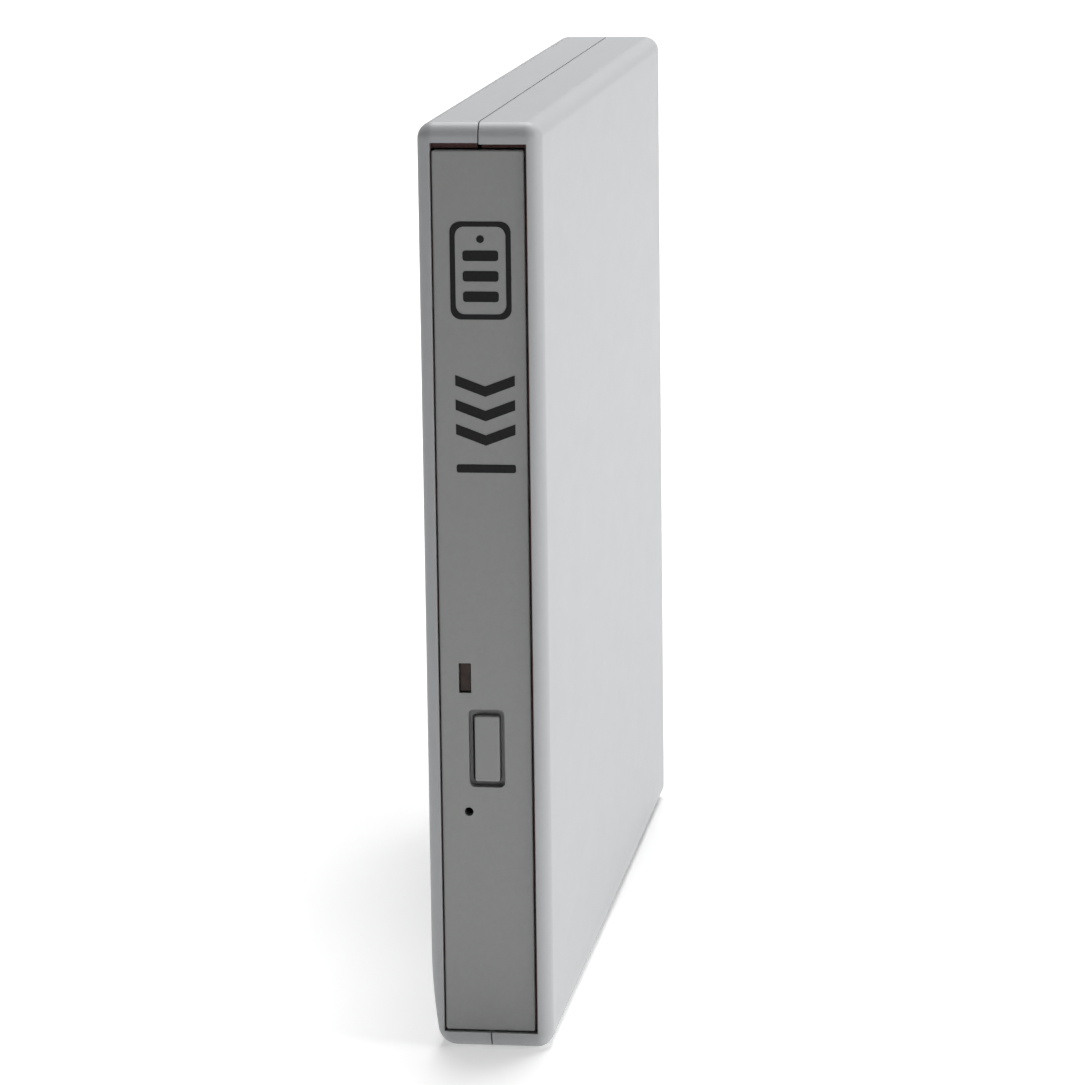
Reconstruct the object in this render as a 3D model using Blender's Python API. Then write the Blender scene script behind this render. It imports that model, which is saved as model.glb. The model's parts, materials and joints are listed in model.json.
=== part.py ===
"""External optical drive: a slim tray-loading disc drive inside a two-piece plastic case.

The case stands on one long edge. +X is the side that is the top when the drive lies flat,
-Y is the front with the tray, and +Z is up. The tray, its telescoping rails, the eject
button, the spindle, the pickup and the latch all move, and each one hangs from an empty
that stands on its joint's axis. Lengths are in millimetres here; the mesh is in metres.
"""

from math import atan2, cos, pi, radians, sin, sqrt, tau

import bmesh
import bpy
from mathutils import Matrix, Vector

MM = 0.001

# Case
THICKNESS = 17.8
DEPTH = 150.0
HEIGHT = 134.6
EDGE_RADIUS = 2.4
FRONT_FILLET = 2.2
BACK_FILLET = 0.5
BELLY_TOP = 14.4
BELLY_DEPTH = 1.25
SEAM_HALF = 0.2
TONGUE_HEIGHT = 1.5
FRONT = -DEPTH / 2
BACK = DEPTH / 2
CAVITY = ((-7.1, FRONT + 1.6, 2.0), (7.1, BACK - 2.0, HEIGHT - 2.2))
MOUTH = ((-6.95, FRONT - 1.0, 2.4), (6.8, FRONT + 2.5, 131.75))
UPPER_MOUTH_DROP = 0.2
FOOT_PROUD = 0.5
FOOT_RADIUS = 4.8
FOOT_SPOTS = {
    "foot_front_right": (-60.0, 14.0),
    "foot_front_left": (-60.0, HEIGHT - 14.0),
    "foot_back_right": (48.0, 14.0),
    "foot_back_left": (48.0, HEIGHT - 14.0),
}
CASE_SCREWS = {"case_screw_right": (66.0, 10.5), "case_screw_left": (66.0, HEIGHT - 10.5)}

# Bridge electronics behind the drive
BOARD_SCREWS = {"board_screw_right": (64.0, 26.0), "board_screw_left": (64.0, 108.0)}
BOARD_X = (-3.0, -2.0)
USB_SHELL = (-1.7, 2.2, 96.0, 103.7)
USB_WALL = 0.35
POWER_AXIS = (1.6, 38.5)
CONNECTOR_Z = (76.0, 112.0)

# Drive body, centred on its own mid-plane
MID = 66.67
COVER_HALF = 63.0
CHASSIS_HALF = 62.2
DRIVE_FLOOR = -6.5
DRIVE_TOP = 6.2
DRIVE_FRONT = -71.0
DRIVE_BACK = 54.0
SHEET = 0.6
LIP = 0.5
GAP = 0.3
CHASSIS_TOP = 5.2
COVER_SKIRT = 2.4
GUIDE_X = (-4.4, 0.1)
GUIDE_HALF = (61.27, 59.07)
RAIL_X = (-3.4, -0.9)
RAIL_HALF = (60.37, 58.07)
RAIL_Y = (-62.0, 48.0)

# Bezel and its fittings
BEZEL_X = (-6.70, 6.375)
BEZEL_Z = (MID - 64.0, MID + 64.0)
BEZEL_Y = (FRONT + 0.4, FRONT + 3.4)
BEZEL_EDGE = 0.22
BEZEL_CORNER = 0.35
BUTTON_POCKET = (-2.70, 2.50, 39.0, 50.45)
POCKET_DEPTH = 1.3
BUTTON_FACE = (-1.85, 1.75, 39.85, 49.45)
BUTTON_CORNER = 0.35
BUTTON_GAP = 0.2
LED_FACE = (-3.93, -2.33, 52.95, 57.10)
LED_GAP = 0.1
LED_RECESS = 0.6
RELEASE_HOLE = (-2.83, 35.34)
RELEASE_RADIUS = 0.65

# Tray
TRAY_FRONT = -71.3
TRAY_BACK = 51.0
DISC_CENTRE = (-9.0, MID)
DISC_RECESS_RADIUS = 60.5
SMALL_DISC_RADIUS = 40.5
DISC_FLOOR = 2.0
SMALL_DISC_FLOOR = 1.4
TRAY_TOP = 4.4
TRAY_FLOOR = -4.7
PLATE_HALF = 59.67
BODY_HALF = 57.1
TRAY_WALL = 1.3
WING_X = (-2.5, -1.8)
WING_HALF = (56.0, 59.47)
RIM = 0.2
FLEX_Z = (34.5, 46.5)
FLEX_X = (-5.68, -2.9)
FLEX_FILM = 0.14
FLEX_FOLD = -25.0

# Traverse unit: its local y runs from the spindle towards the rim, its local z across
TRAVERSE_TURN = radians(42.0)
ROTOR_RADIUS = 12.0
HUB_RADIUS = 7.35
LENS_RADIUS_IN = 23.5
MAIN_ROD_Z = 11.5
AUX_ROD_Z = -11.3
ROD_LEVEL = -2.4
SCREW_Z = 17.5
SCREW_PITCH = 3.0
SCREW_RADII = (0.8, 1.15)

# Latch, seen in the tray
LATCH_PIVOT = (-58.0, 37.0)
LATCH_SWING = radians(34.0)
LOCK_POST = (-56.0, 30.0)
SOLENOID_AXIS = (-1.4, 35.6)
EJECTOR_AXIS = (-2.3, 18.0)

MATERIALS = {
    "case_plastic": ((0.66, 0.67, 0.68), 0.5, 0.0),
    "bezel_plastic": ((0.60, 0.61, 0.60), 0.5, 0.0),
    "button_plastic": ((0.55, 0.56, 0.55), 0.45, 0.0),
    "led_lens": ((0.10, 0.03, 0.02), 0.2, 0.0),
    "tray_plastic": ((0.03, 0.03, 0.032), 0.55, 0.0),
    "steel_sheet": ((0.55, 0.56, 0.57), 0.35, 1.0),
    "bright_steel": ((0.75, 0.75, 0.76), 0.18, 1.0),
    "black_steel": ((0.04, 0.04, 0.045), 0.4, 0.6),
    "rail_plastic": ((0.12, 0.12, 0.125), 0.5, 0.0),
    "board": ((0.02, 0.12, 0.05), 0.4, 0.0),
    "chip": ((0.02, 0.02, 0.02), 0.45, 0.0),
    "connector_plastic": ((0.62, 0.58, 0.48), 0.5, 0.0),
    "jack_plastic": ((0.03, 0.03, 0.03), 0.4, 0.0),
    "rubber": ((0.05, 0.05, 0.05), 0.8, 0.0),
    "brass": ((0.72, 0.55, 0.28), 0.3, 1.0),
    "lens_glass": ((0.35, 0.42, 0.55), 0.05, 0.0),
    "flex_film": ((0.45, 0.27, 0.08), 0.35, 0.0),
}

worlds = {}


# ---- plane outlines -------------------------------------------------------------------


def rectangle(a0, a1, b0, b1):
    """Corners of a rectangle, anticlockwise."""
    return [(a0, b0), (a1, b0), (a1, b1), (a0, b1)]


def grown(face, by):
    """A rectangle (a0, a1, b0, b1) made larger on every side."""
    a0, a1, b0, b1 = face
    return a0 - by, a1 + by, b0 - by, b1 + by


def rounded(a0, a1, b0, b1, radius, steps=4):
    """A rectangle with round corners."""
    centres = [(a1 - radius, b0 + radius), (a1 - radius, b1 - radius)]
    centres += [(a0 + radius, b1 - radius), (a0 + radius, b0 + radius)]
    points = []
    for quarter, (ca, cb) in enumerate(centres):
        for step in range(steps + 1):
            turn = pi / 2 * (quarter - 1 + step / steps)
            points.append((ca + radius * cos(turn), cb + radius * sin(turn)))
    return points


def circle(a, b, radius, sides=20):
    """A regular polygon with its corners on the circle."""
    return [
        (a + radius * cos(tau * k / sides), b + radius * sin(tau * k / sides)) for k in range(sides)
    ]


def keyhole(radius, half_width, length, corner):
    """A round end about the origin that runs into a straight band towards +a."""
    start = atan2(half_width, sqrt(radius**2 - half_width**2))
    steps = 20
    points = []
    for step in range(steps + 1):
        turn = start + (tau - 2 * start) * step / steps
        points.append((radius * cos(turn), radius * sin(turn)))
    for quarter, cb in ((-1, -half_width + corner), (0, half_width - corner)):
        for step in range(5):
            turn = pi / 2 * (quarter + step / 4)
            points.append((length - corner + corner * cos(turn), cb + corner * sin(turn)))
    return points


# ---- closed solids: each is a list of points and a list of faces ------------------------


def along(axis, level, a, b):
    """The point at this level of an axis, with the two other coordinates a and b."""
    if axis == "X":
        return (level, a, b)
    if axis == "Y":
        return (a, level, b)
    return (a, b, level)


def loft(loops):
    """Skin between loops with the same number of points, closed by a face at each end."""
    size = len(loops[0])
    points = [point for loop in loops for point in loop]
    faces = [list(range(size)), list(range(len(points) - size, len(points)))]
    for row in range(len(loops) - 1):
        for k in range(size):
            here = row * size + k
            right = row * size + (k + 1) % size
            faces.append([here, right, right + size, here + size])
    return points, faces


def prism(axis, outline, low, high):
    """An outline pushed along an axis from low to high."""
    return loft([[along(axis, level, a, b) for a, b in outline] for level in (low, high)])


def box(low, high):
    """A plain block between two corners."""
    return prism("X", rectangle(low[1], high[1], low[2], high[2]), low[0], high[0])


def rod(axis, a, b, radius, low, high, sides=20):
    """A round bar along an axis."""
    return prism(axis, circle(a, b, radius, sides), low, high)


def turned(axis, a, b, profile, sides=24):
    """A ring turned about an axis from a closed outline of (radius, level) points."""
    points = []
    faces = []
    count = len(profile)
    for k in range(sides):
        turn = tau * k / sides
        for radius, level in profile:
            points.append(along(axis, level, a + radius * cos(turn), b + radius * sin(turn)))
        for j in range(count):
            here = k * count + j
            over = k * count + (j + 1) % count
            right = (k + 1) % sides * count
            faces.append([here, over, right + (j + 1) % count, right + j])
    return points, faces


def stepped(axis, a, b, steps, sides=20):
    """A solid bar whose radius changes: steps are (radius, level) from one end to the other."""
    return loft([[along(axis, level, p, q) for p, q in circle(a, b, r, sides)] for r, level in steps])


def coil(axis_a, axis_b, radius, wire, low, high, turns):
    """A round-wire spring along Y."""
    loops = []
    steps = turns * 10
    for k in range(steps + 1):
        turn = tau * turns * k / steps
        level = low + wire + (high - low - 2 * wire) * k / steps
        loop = []
        for side in range(5):
            swing = tau * side / 5
            reach = radius + wire * cos(swing)
            loop.append((axis_a + reach * cos(turn), level + wire * sin(swing), axis_b + reach * sin(turn)))
        loops.append(loop)
    return loft(loops)


def channel(x0, x1, back, mouth, flange, web):
    """Section (x, z) of a C-channel that opens from its back towards its mouth."""
    inner = back + web if mouth > back else back - web
    return [
        (x0, back),
        (x1, back),
        (x1, mouth),
        (x1 - flange, mouth),
        (x1 - flange, inner),
        (x0 + flange, inner),
        (x0 + flange, mouth),
        (x0, mouth),
    ]


# ---- objects ----------------------------------------------------------------------------


def empty(name, parent, matrix):
    """An empty that stands for a body, at its joint's axis."""
    mover = bpy.data.objects.new(name, None)
    mover.empty_display_size = 5 * MM
    bpy.context.scene.collection.objects.link(mover)
    worlds[name] = matrix
    mover.parent = parent
    mover.matrix_local = worlds[parent.name].inverted() @ matrix if parent else matrix
    return mover


def spot(x, y, z, turn=0.0):
    """Place in the case's own frame, turned about X."""
    return ASSEMBLY @ Matrix.Translation(Vector((x, y, z)) * MM) @ Matrix.Rotation(turn, 4, "X")


def mesh_from(name, solids, parent, frame):
    """One mesh of closed solids given in millimetres, stored in the parent's frame."""
    bm = bmesh.new()
    for points, faces in solids:
        corners = [bm.verts.new(Vector(point) * MM) for point in points]
        for face in faces:
            bm.faces.new([corners[k] for k in face])
    bmesh.ops.recalc_face_normals(bm, faces=bm.faces)
    bmesh.ops.transform(bm, matrix=worlds[parent.name].inverted() @ frame, verts=bm.verts)
    mesh = bpy.data.meshes.new(name)
    bm.to_mesh(mesh)
    bm.free()
    mesh.shade_smooth()
    mesh.set_sharp_from_angle(angle=radians(32.0))
    return mesh


def add(name, solid, material, parent, frame=None):
    """A new sub-part made of one closed solid."""
    obj = bpy.data.objects.new(name, mesh_from(name, [solid], parent, frame or ASSEMBLY))
    bpy.context.scene.collection.objects.link(obj)
    obj.parent = parent
    obj.data.materials.append(bpy.data.materials[material])
    return obj


def combine(obj, operation, solids, frame=None):
    """Add a Boolean with a hidden tool object that holds solids standing apart."""
    label = f"{obj.name}_{operation.lower()}_{len(obj.modifiers)}"
    tool = bpy.data.objects.new(label, mesh_from(label, solids, obj.parent, frame or ASSEMBLY))
    bpy.context.scene.collection.objects.link(tool)
    tool.parent = obj.parent
    tool.hide_render = True
    tool.display_type = "WIRE"
    modifier = obj.modifiers.new(label, "BOOLEAN")
    modifier.operation = operation
    modifier.solver = "EXACT"
    modifier.object = tool


def cut(obj, *solids, frame=None):
    combine(obj, "DIFFERENCE", solids, frame)


def weld(obj, *solids, frame=None):
    combine(obj, "UNION", solids, frame)


def make_materials():
    """One plain material for each entry of MATERIALS."""
    for name, (colour, roughness, metallic) in MATERIALS.items():
        material = bpy.data.materials.new(name)
        material.use_nodes = True
        shader = material.node_tree.nodes["Principled BSDF"]
        shader.inputs["Base Color"].default_value = (*colour, 1.0)
        shader.inputs["Roughness"].default_value = roughness
        shader.inputs["Metallic"].default_value = metallic
        material.diffuse_color = (*colour, 1.0)


# ---- case -------------------------------------------------------------------------------


def case_section(shrink):
    """The outline across the case; its side at -X bends inwards towards the edge it stands on."""
    half = THICKNESS / 2 - shrink
    section = rounded(-half, half, shrink, HEIGHT - shrink, max(EDGE_RADIUS - shrink, 0.2), 6)
    start = len(section) - 7
    side = [(-half, BELLY_TOP * (1 - k / 6)) for k in range(5)]
    bent = []
    for x, z in section[:start] + side + section[start:]:
        if x < 0 and z < BELLY_TOP:
            x += BELLY_DEPTH * (1 - z / BELLY_TOP) ** 2
        bent.append((x, z))
    return bent


def case_block():
    """The outer form: round long edges, a fillet round the front and a small one at the back."""
    loops = []
    for fillet, end, way in ((FRONT_FILLET, FRONT, 1), (BACK_FILLET, BACK, -1)):
        steps = 6 if way > 0 else 2
        rows = []
        for step in range(steps + 1):
            turn = pi / 2 * step / steps
            shrink = fillet * (1 - sin(turn))
            level = end + way * fillet * (1 - cos(turn))
            rows.append([(x, level, z) for x, z in case_section(shrink)])
        loops += rows if way > 0 else rows[::-1]
    return loft(loops)


def socket_cuts():
    """The two openings in the back wall, for the data socket and the power jack."""
    usb = prism("Y", rounded(*grown(USB_SHELL, 0.5), 0.8), BACK - 3.0, BACK + 1.0)
    power = rod("Y", *POWER_AXIS, 3.5, BACK - 3.0, BACK + 1.0)
    return usb, power


def make_upper_case(root):
    """The half at +X, with a rebate round its open side and two screw posts."""
    low, high = CAVITY
    case = add("upper_case", case_block(), "case_plastic", root)
    cut(case, box((-20, FRONT - 5, -5), (SEAM_HALF, BACK + 5, HEIGHT + 5)))
    cut(case, box((-20, low[1], low[2]), high))
    right, behind, top = MOUTH[1]
    cut(case, box((-20, MOUTH[0][1], MOUTH[0][2]), (right, behind, top - UPPER_MOUTH_DROP)))
    rebate_low = (-20, low[1] - 0.4, low[2] - 1.1)
    rebate_high = (TONGUE_HEIGHT + GAP, high[1] + 1.1, high[2] + 1.1)
    cut(case, box(rebate_low, rebate_high))
    weld(case, *[rod("X", y, z, 2.6, 1.0, 7.5) for y, z in CASE_SCREWS.values()])
    cut(case, *[rod("X", y, z, 1.0, 0.0, 6.0) for y, z in CASE_SCREWS.values()])
    cut(case, *socket_cuts())


def make_lower_case(root):
    """The half at -X, with a tongue in the rebate, screw bores and seats for the feet."""
    low, high = CAVITY
    case = add("lower_case", case_block(), "case_plastic", root)
    cut(case, box((-SEAM_HALF, FRONT - 5, -5), (20, BACK + 5, HEIGHT + 5)))
    tongue_low = (-5.0, low[1] - 0.1, low[2] - 0.8)
    weld(case, box(tongue_low, (TONGUE_HEIGHT, high[1] + 0.8, high[2] + 0.8)))
    cut(case, box(low, (20, high[1], high[2])))
    cut(case, box(MOUTH[0], (20, MOUTH[1][1], MOUTH[1][2])))
    weld(case, *[rod("X", y, z, 3.3, -7.5, 0.6) for y, z in CASE_SCREWS.values()])
    weld(case, *[rod("X", y, z, 2.0, -7.5, -3.3) for y, z in BOARD_SCREWS.values()])
    cut(case, *[rod("X", y, z, 2.4, -12.0, -4.0) for y, z in CASE_SCREWS.values()])
    cut(case, *[rod("X", y, z, 1.2, -5.0, 2.0) for y, z in CASE_SCREWS.values()])
    cut(case, *[rod("X", y, z, 1.1, -6.4, -2.0) for y, z in BOARD_SCREWS.values()])
    cut(case, *[rod("X", y, z, FOOT_RADIUS + 0.3, -12.0, -8.4) for y, z in FOOT_SPOTS.values()])
    cut(case, *socket_cuts())


def make_case_fittings(root):
    """The rubber feet and the two screws that hold the halves together."""
    outer = -THICKNESS / 2 - FOOT_PROUD
    for name, (y, z) in FOOT_SPOTS.items():
        steps = [(FOOT_RADIUS - 0.4, outer), (FOOT_RADIUS, outer + 0.35), (FOOT_RADIUS, -8.5)]
        add(name, stepped("X", y, z, steps), "rubber", root)
    for name, (y, z) in CASE_SCREWS.items():
        steps = [(1.7, -5.7), (2.1, -5.2), (2.1, -4.2), (0.8, -4.2), (0.8, 5.2), (0.4, 5.6)]
        screw = add(name, stepped("X", y, z, steps), "bright_steel", root)
        cross_cut(screw, -5.7, y, z)


def cross_cut(screw, head, y, z, reach=1.1, depth=0.7):
    """A cross recess in a screw head at level head, cut towards +X."""
    arm = 0.3
    cut(screw, box((head - 1, y - reach, z - arm), (head + depth, y + reach, z + arm)))
    cut(screw, box((head - 1, y - arm, z - reach), (head + depth, y + arm, z + reach)))


# ---- bridge electronics -------------------------------------------------------------------


def make_bridge(root):
    """The board behind the drive and what is mounted on it."""
    under, top = BOARD_X
    board = add("bridge_board", box((under, 58.5, 22.0), (top, 72.4, 112.0)), "board", root)
    cut(board, *[rod("X", y, z, 1.2, -4.0, -1.0) for y, z in BOARD_SCREWS.values()])
    for name, (y, z) in BOARD_SCREWS.items():
        steps = [(0.5, -6.2), (0.9, -5.8), (0.9, -1.9), (1.9, -1.9), (1.9, -1.2), (1.5, -0.8)]
        add(name, stepped("X", y, z, steps), "bright_steel", root)
    chip_floor = top + 0.1
    add("bridge_chip", box((chip_floor, 61.0, 60.0), (-0.6, 71.0, 70.0)), "chip", root)
    add("clock_crystal", prism("X", rounded(61.0, 65.5, 76.0, 87.0, 2.2), chip_floor, 1.4),
        "bright_steel", root)
    steps = [(3.1, chip_floor), (3.1, 0.0), (2.9, 0.25), (3.1, 0.5), (3.1, 4.6), (2.8, 4.9)]
    add("smoothing_capacitor", stepped("X", 66.0, 50.5, steps), "steel_sheet", root)
    add("bridge_connector", box((-4.5, 55.5, CONNECTOR_Z[0]), (-0.5, 58.2, CONNECTOR_Z[1])),
        "connector_plastic", root)


def make_usb_socket(root):
    """A steel shell round a plastic tongue."""
    shell = add("usb_socket_shell", prism("Y", rounded(*USB_SHELL, 0.6), 66.0, 74.6),
                "bright_steel", root)
    cut(shell, prism("Y", rounded(*grown(USB_SHELL, -USB_WALL), 0.4), 66.5, 76.0))
    add("usb_socket_tongue", box((0.0, 66.8, 97.5), (1.0, 73.4, 102.2)), "jack_plastic", root)


def make_power_jack(root):
    """A round socket with a centre pin."""
    x, z = POWER_AXIS
    jack = add("power_jack_body", box((-1.7, 60.0, 34.3), (4.9, 72.6, 42.7)), "jack_plastic", root)
    weld(jack, rod("Y", x, z, 3.1, 72.0, 74.5))
    cut(jack, rod("Y", x, z, 2.75, 63.0, 76.0))
    steps = [(0.95, 63.3), (0.95, 72.4), (0.55, 73.0)]
    add("power_jack_pin", stepped("Y", x, z, steps, 20), "bright_steel", root)


# ---- drive body -----------------------------------------------------------------------------


def make_chassis(root):
    """The open steel tray of the drive, with a slot at the back for its connector."""
    low = (DRIVE_FLOOR, DRIVE_FRONT, MID - CHASSIS_HALF)
    high = (CHASSIS_TOP, DRIVE_BACK, MID + CHASSIS_HALF)
    chassis = add("drive_chassis", box(low, high), "steel_sheet", root)
    inner_low = (low[0] + SHEET, low[1] - 5, low[2] + SHEET)
    cut(chassis, box(inner_low, (20, high[1] - SHEET, high[2] - SHEET)))
    z0, z1 = CONNECTOR_Z
    cut(chassis, box((-4.9, 53.0, z0 - 0.5), (-0.1, 55.0, z1 + 0.5)))


def make_top_cover(root):
    """The steel lid, whose skirt stands outside the chassis."""
    low = (COVER_SKIRT, DRIVE_FRONT, MID - COVER_HALF)
    high = (DRIVE_TOP, DRIVE_BACK + GAP + LIP, MID + COVER_HALF)
    cover = add("drive_top_cover", box(low, high), "steel_sheet", root)
    cut(cover, box((-5, low[1] - 5, low[2] + LIP), (DRIVE_TOP - SHEET, high[1] - LIP, high[2] - LIP)))


def make_connector(root):
    """The plug at the back of the drive, on its own small board."""
    add("connector_board", box((-5.6, 45.0, 70.0), (-5.0, 53.1, 118.0)), "board", root)
    add("drive_connector", box((-4.7, 51.4, CONNECTOR_Z[0]), (-0.4, 55.2, CONNECTOR_Z[1])),
        "connector_plastic", root)


def make_lock_post(root):
    """The pin behind which the latch hooks."""
    y, z = LOCK_POST
    steps = [(2.0, -5.6), (2.0, -5.5), (1.2, -5.5), (1.2, -1.6), (0.9, -1.3)]
    add("lock_post", stepped("X", y, z, steps), "bright_steel", root)


def make_rails(root):
    """A fixed plastic guide and a sliding steel rail on each side, one inside the other."""
    for side, way in (("right", -1), ("left", 1)):
        back, mouth = (MID + way * half for half in GUIDE_HALF)
        guide = channel(*GUIDE_X, back, mouth, 0.7, 0.6)
        add(f"rail_guide_{side}", prism("Y", guide, -68.0, 50.0), "rail_plastic", root)
        mover = empty(f"rail_{side}_mover", root, spot(sum(RAIL_X) / 2, -5.0, MID + way * 59.2))
        back, mouth = (MID + way * half for half in RAIL_HALF)
        rail = channel(*RAIL_X, back, mouth, 0.6, 0.6)
        add(f"rail_{side}", prism("Y", rail, *RAIL_Y), "bright_steel", mover)


def make_ejector(root):
    """A spring-loaded plunger that starts the tray on its way out."""
    mover = empty("ejector_mover", root, spot(EJECTOR_AXIS[0], 34.0, EJECTOR_AXIS[1]))
    steps = [(1.8, 33.6), (2.1, 33.9), (2.1, 35.2), (0.8, 35.2), (0.8, 52.9)]
    add("ejector_plunger", stepped("Y", *EJECTOR_AXIS, steps, 20), "button_plastic", mover)
    sleeve = [(1.1, 38.5), (1.1, 53.1), (1.5, 53.1), (1.5, 38.5)]
    add("ejector_sleeve", turned("Y", *EJECTOR_AXIS, sleeve, 20), "rail_plastic", root)
    add("ejector_spring", coil(*EJECTOR_AXIS, 1.9, 0.18, 35.5, 53.0, 7), "bright_steel", root)


def make_flex_cable(root):
    """The folded strip that joins the tray's board to the board at the back."""
    z0, z1 = FLEX_Z
    low, high = FLEX_X
    radius = (high - low) / 2
    centre = (high + low) / 2
    rows = [(low, 52.8), (low, FLEX_FOLD)]
    for step in range(1, 12):
        turn = pi * step / 12
        rows.append((centre - radius * cos(turn), FLEX_FOLD - radius * sin(turn)))
    rows += [(high, FLEX_FOLD), (high, 40.0)]
    loops = []
    for k, (x, y) in enumerate(rows):
        before = Vector(rows[max(k - 1, 0)])
        after = Vector(rows[min(k + 1, len(rows) - 1)])
        run = (after - before).normalized()
        if k in (0, 1):
            run = Vector((0, -1))
        if k >= len(rows) - 2:
            run = Vector((0, 1))
        side = Vector((run.y, -run.x)) * FLEX_FILM / 2
        outer, inner = (x + side.x, y + side.y), (x - side.x, y - side.y)
        loops.append([(*outer, z0), (*outer, z1), (*inner, z1), (*inner, z0)])
    add("flex_cable", loft(loops), "flex_film", root)


# ---- tray and what it carries -----------------------------------------------------------------


def make_tray(tray):
    """The moulding with the two disc recesses and the opening over the traverse unit."""
    outline = rounded(TRAY_FRONT, TRAY_BACK, MID - PLATE_HALF, MID + PLATE_HALF, 3.0)
    plate = add("tray", prism("X", outline, 0.5, TRAY_TOP), "tray_plastic", tray)
    low = (TRAY_FLOOR, TRAY_FRONT + RIM, MID - BODY_HALF)
    weld(plate, box(low, (1.0, TRAY_BACK - RIM, MID + BODY_HALF)))
    for way in (-1, 1):
        z0, z1 = sorted(MID + way * half for half in WING_HALF)
        weld(plate, box((WING_X[0], -68.0, z0), (WING_X[1], 48.0, z1)))
    cut(plate, box((-9, low[1] + TRAY_WALL, low[2] + TRAY_WALL),
                   (0.2, TRAY_BACK - TRAY_WALL, MID + BODY_HALF - TRAY_WALL)))
    y, z = DISC_CENTRE
    cut(plate, rod("X", y, z, DISC_RECESS_RADIUS, DISC_FLOOR, 9.0, 72))
    cut(plate, rod("X", y, z, SMALL_DISC_RADIUS, SMALL_DISC_FLOOR, 3.0, 56))
    cut(plate, prism("X", keyhole(16.5, 13.0, 66.0, 4.0), -2.0, 3.0), frame=TRAVERSE)
    # The wall that the ejector pushes, and the way in for the ejector and for the lock post
    weld(plate, box((TRAY_FLOOR, 31.9, 12.5), (0.4, 33.2, 23.5)))
    cut(plate, box((-9, 45.0, 14.5), (0.1, 56.0, 21.5)), box((-9, 45.0, 27.8), (-0.6, 56.0, 32.2)))
    # Openings behind the bezel for the button and the release pin
    button = rounded(-2.6, 2.6, 38.6, 50.8, 0.5)
    cut(plate, prism("Y", button, -73.0, -68.9))
    cut(plate, rod("Y", *RELEASE_HOLE, 0.8, -73.0, -68.0))
    # A shallow finger recess at the front rim of the disc
    cut(plate, rod("X", DISC_CENTRE[0] - 52.0, MID, 13.0, 2.9, 9.0, 48))


def bezel_block():
    """The bezel's outer form, with a small round along the front edges."""
    loops = []
    for step in range(5):
        turn = pi / 2 * step / 4
        shrink = BEZEL_EDGE * (1 - sin(turn))
        level = BEZEL_Y[0] + BEZEL_EDGE * (1 - cos(turn))
        section = rounded(*grown((*BEZEL_X, *BEZEL_Z), -shrink), BEZEL_CORNER - shrink, 3)
        loops.append([(x, level, z) for x, z in section])
    loops.append([(x, BEZEL_Y[1], z) for x, z in section])
    return loft(loops)


def make_bezel(tray):
    """The front plate, with its button pocket, window and release hole."""
    front, back = BEZEL_Y
    bezel = add("front_bezel", bezel_block(), "bezel_plastic", tray)
    cut(bezel, prism("Y", rounded(*BUTTON_POCKET, 0.8), front - 1, front + POCKET_DEPTH))
    cut(bezel,
        prism("Y", rounded(*grown(BUTTON_FACE, BUTTON_GAP), 0.45), front - 1, back + 1),
        prism("Y", rounded(*grown(LED_FACE, LED_GAP), 0.15, 2), front - 1, back + 1),
        rod("Y", *RELEASE_HOLE, RELEASE_RADIUS, front - 1, back + 1))
    lens = rounded(*LED_FACE, 0.12, 2)
    add("led_lens", prism("Y", lens, front + LED_RECESS, back - 0.1), "led_lens", tray)


def make_button(tray):
    """The eject button, held by a flange behind the bezel, and its switch."""
    x0, x1, z0, z1 = BUTTON_FACE
    mover = empty("button_mover", tray, spot((x0 + x1) / 2, BEZEL_Y[0], (z0 + z1) / 2))
    loops = []
    for shrink, level in ((0.45, 0.05), (0.2, 0.12), (0.0, 0.35), (0.0, 4.4)):
        section = rounded(x0 + shrink, x1 - shrink, z0 + shrink, z1 - shrink, BUTTON_CORNER - shrink / 2)
        loops.append([(x, BEZEL_Y[0] + level, z) for x, z in section])
    button = add("eject_button", loft(loops), "button_plastic", mover)
    weld(button, box((-2.35, BEZEL_Y[1] + 0.1, 39.0), (2.35, BEZEL_Y[1] + 0.9, 50.4)))
    add("eject_switch", box((-2.3, -69.1, 42.0), (-0.1, -66.5, 47.4)), "chip", tray)


def make_tray_shield(tray):
    """The steel sheet under the tray, cut away for the post, cable and ejector."""
    outline = rounded(-70.0, 44.0, MID - 56.8, MID + 56.8, 3.0)
    shield = add("tray_shield", prism("X", outline, -5.4, -5.0), "steel_sheet", tray)
    cut(shield, box((-6, -59.0, 28.0), (-4, 50.0, 32.0)))
    cut(shield, box((-6, -31.0, 31.5), (-4, 51.0, 48.0)))
    cut(shield, box((-6, 30.0, 14.0), (-4, 50.0, 22.0)))


def make_main_board(tray):
    """The board in the tray and its largest chip."""
    add("main_board", box((-4.6, -66.0, 50.0), (-3.8, -33.0, 118.0)), "board", tray)
    add("controller_chip", box((-3.7, -57.0, 76.0), (-2.3, -42.0, 91.0)), "chip", tray)


# ---- traverse unit ------------------------------------------------------------------------------


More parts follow.
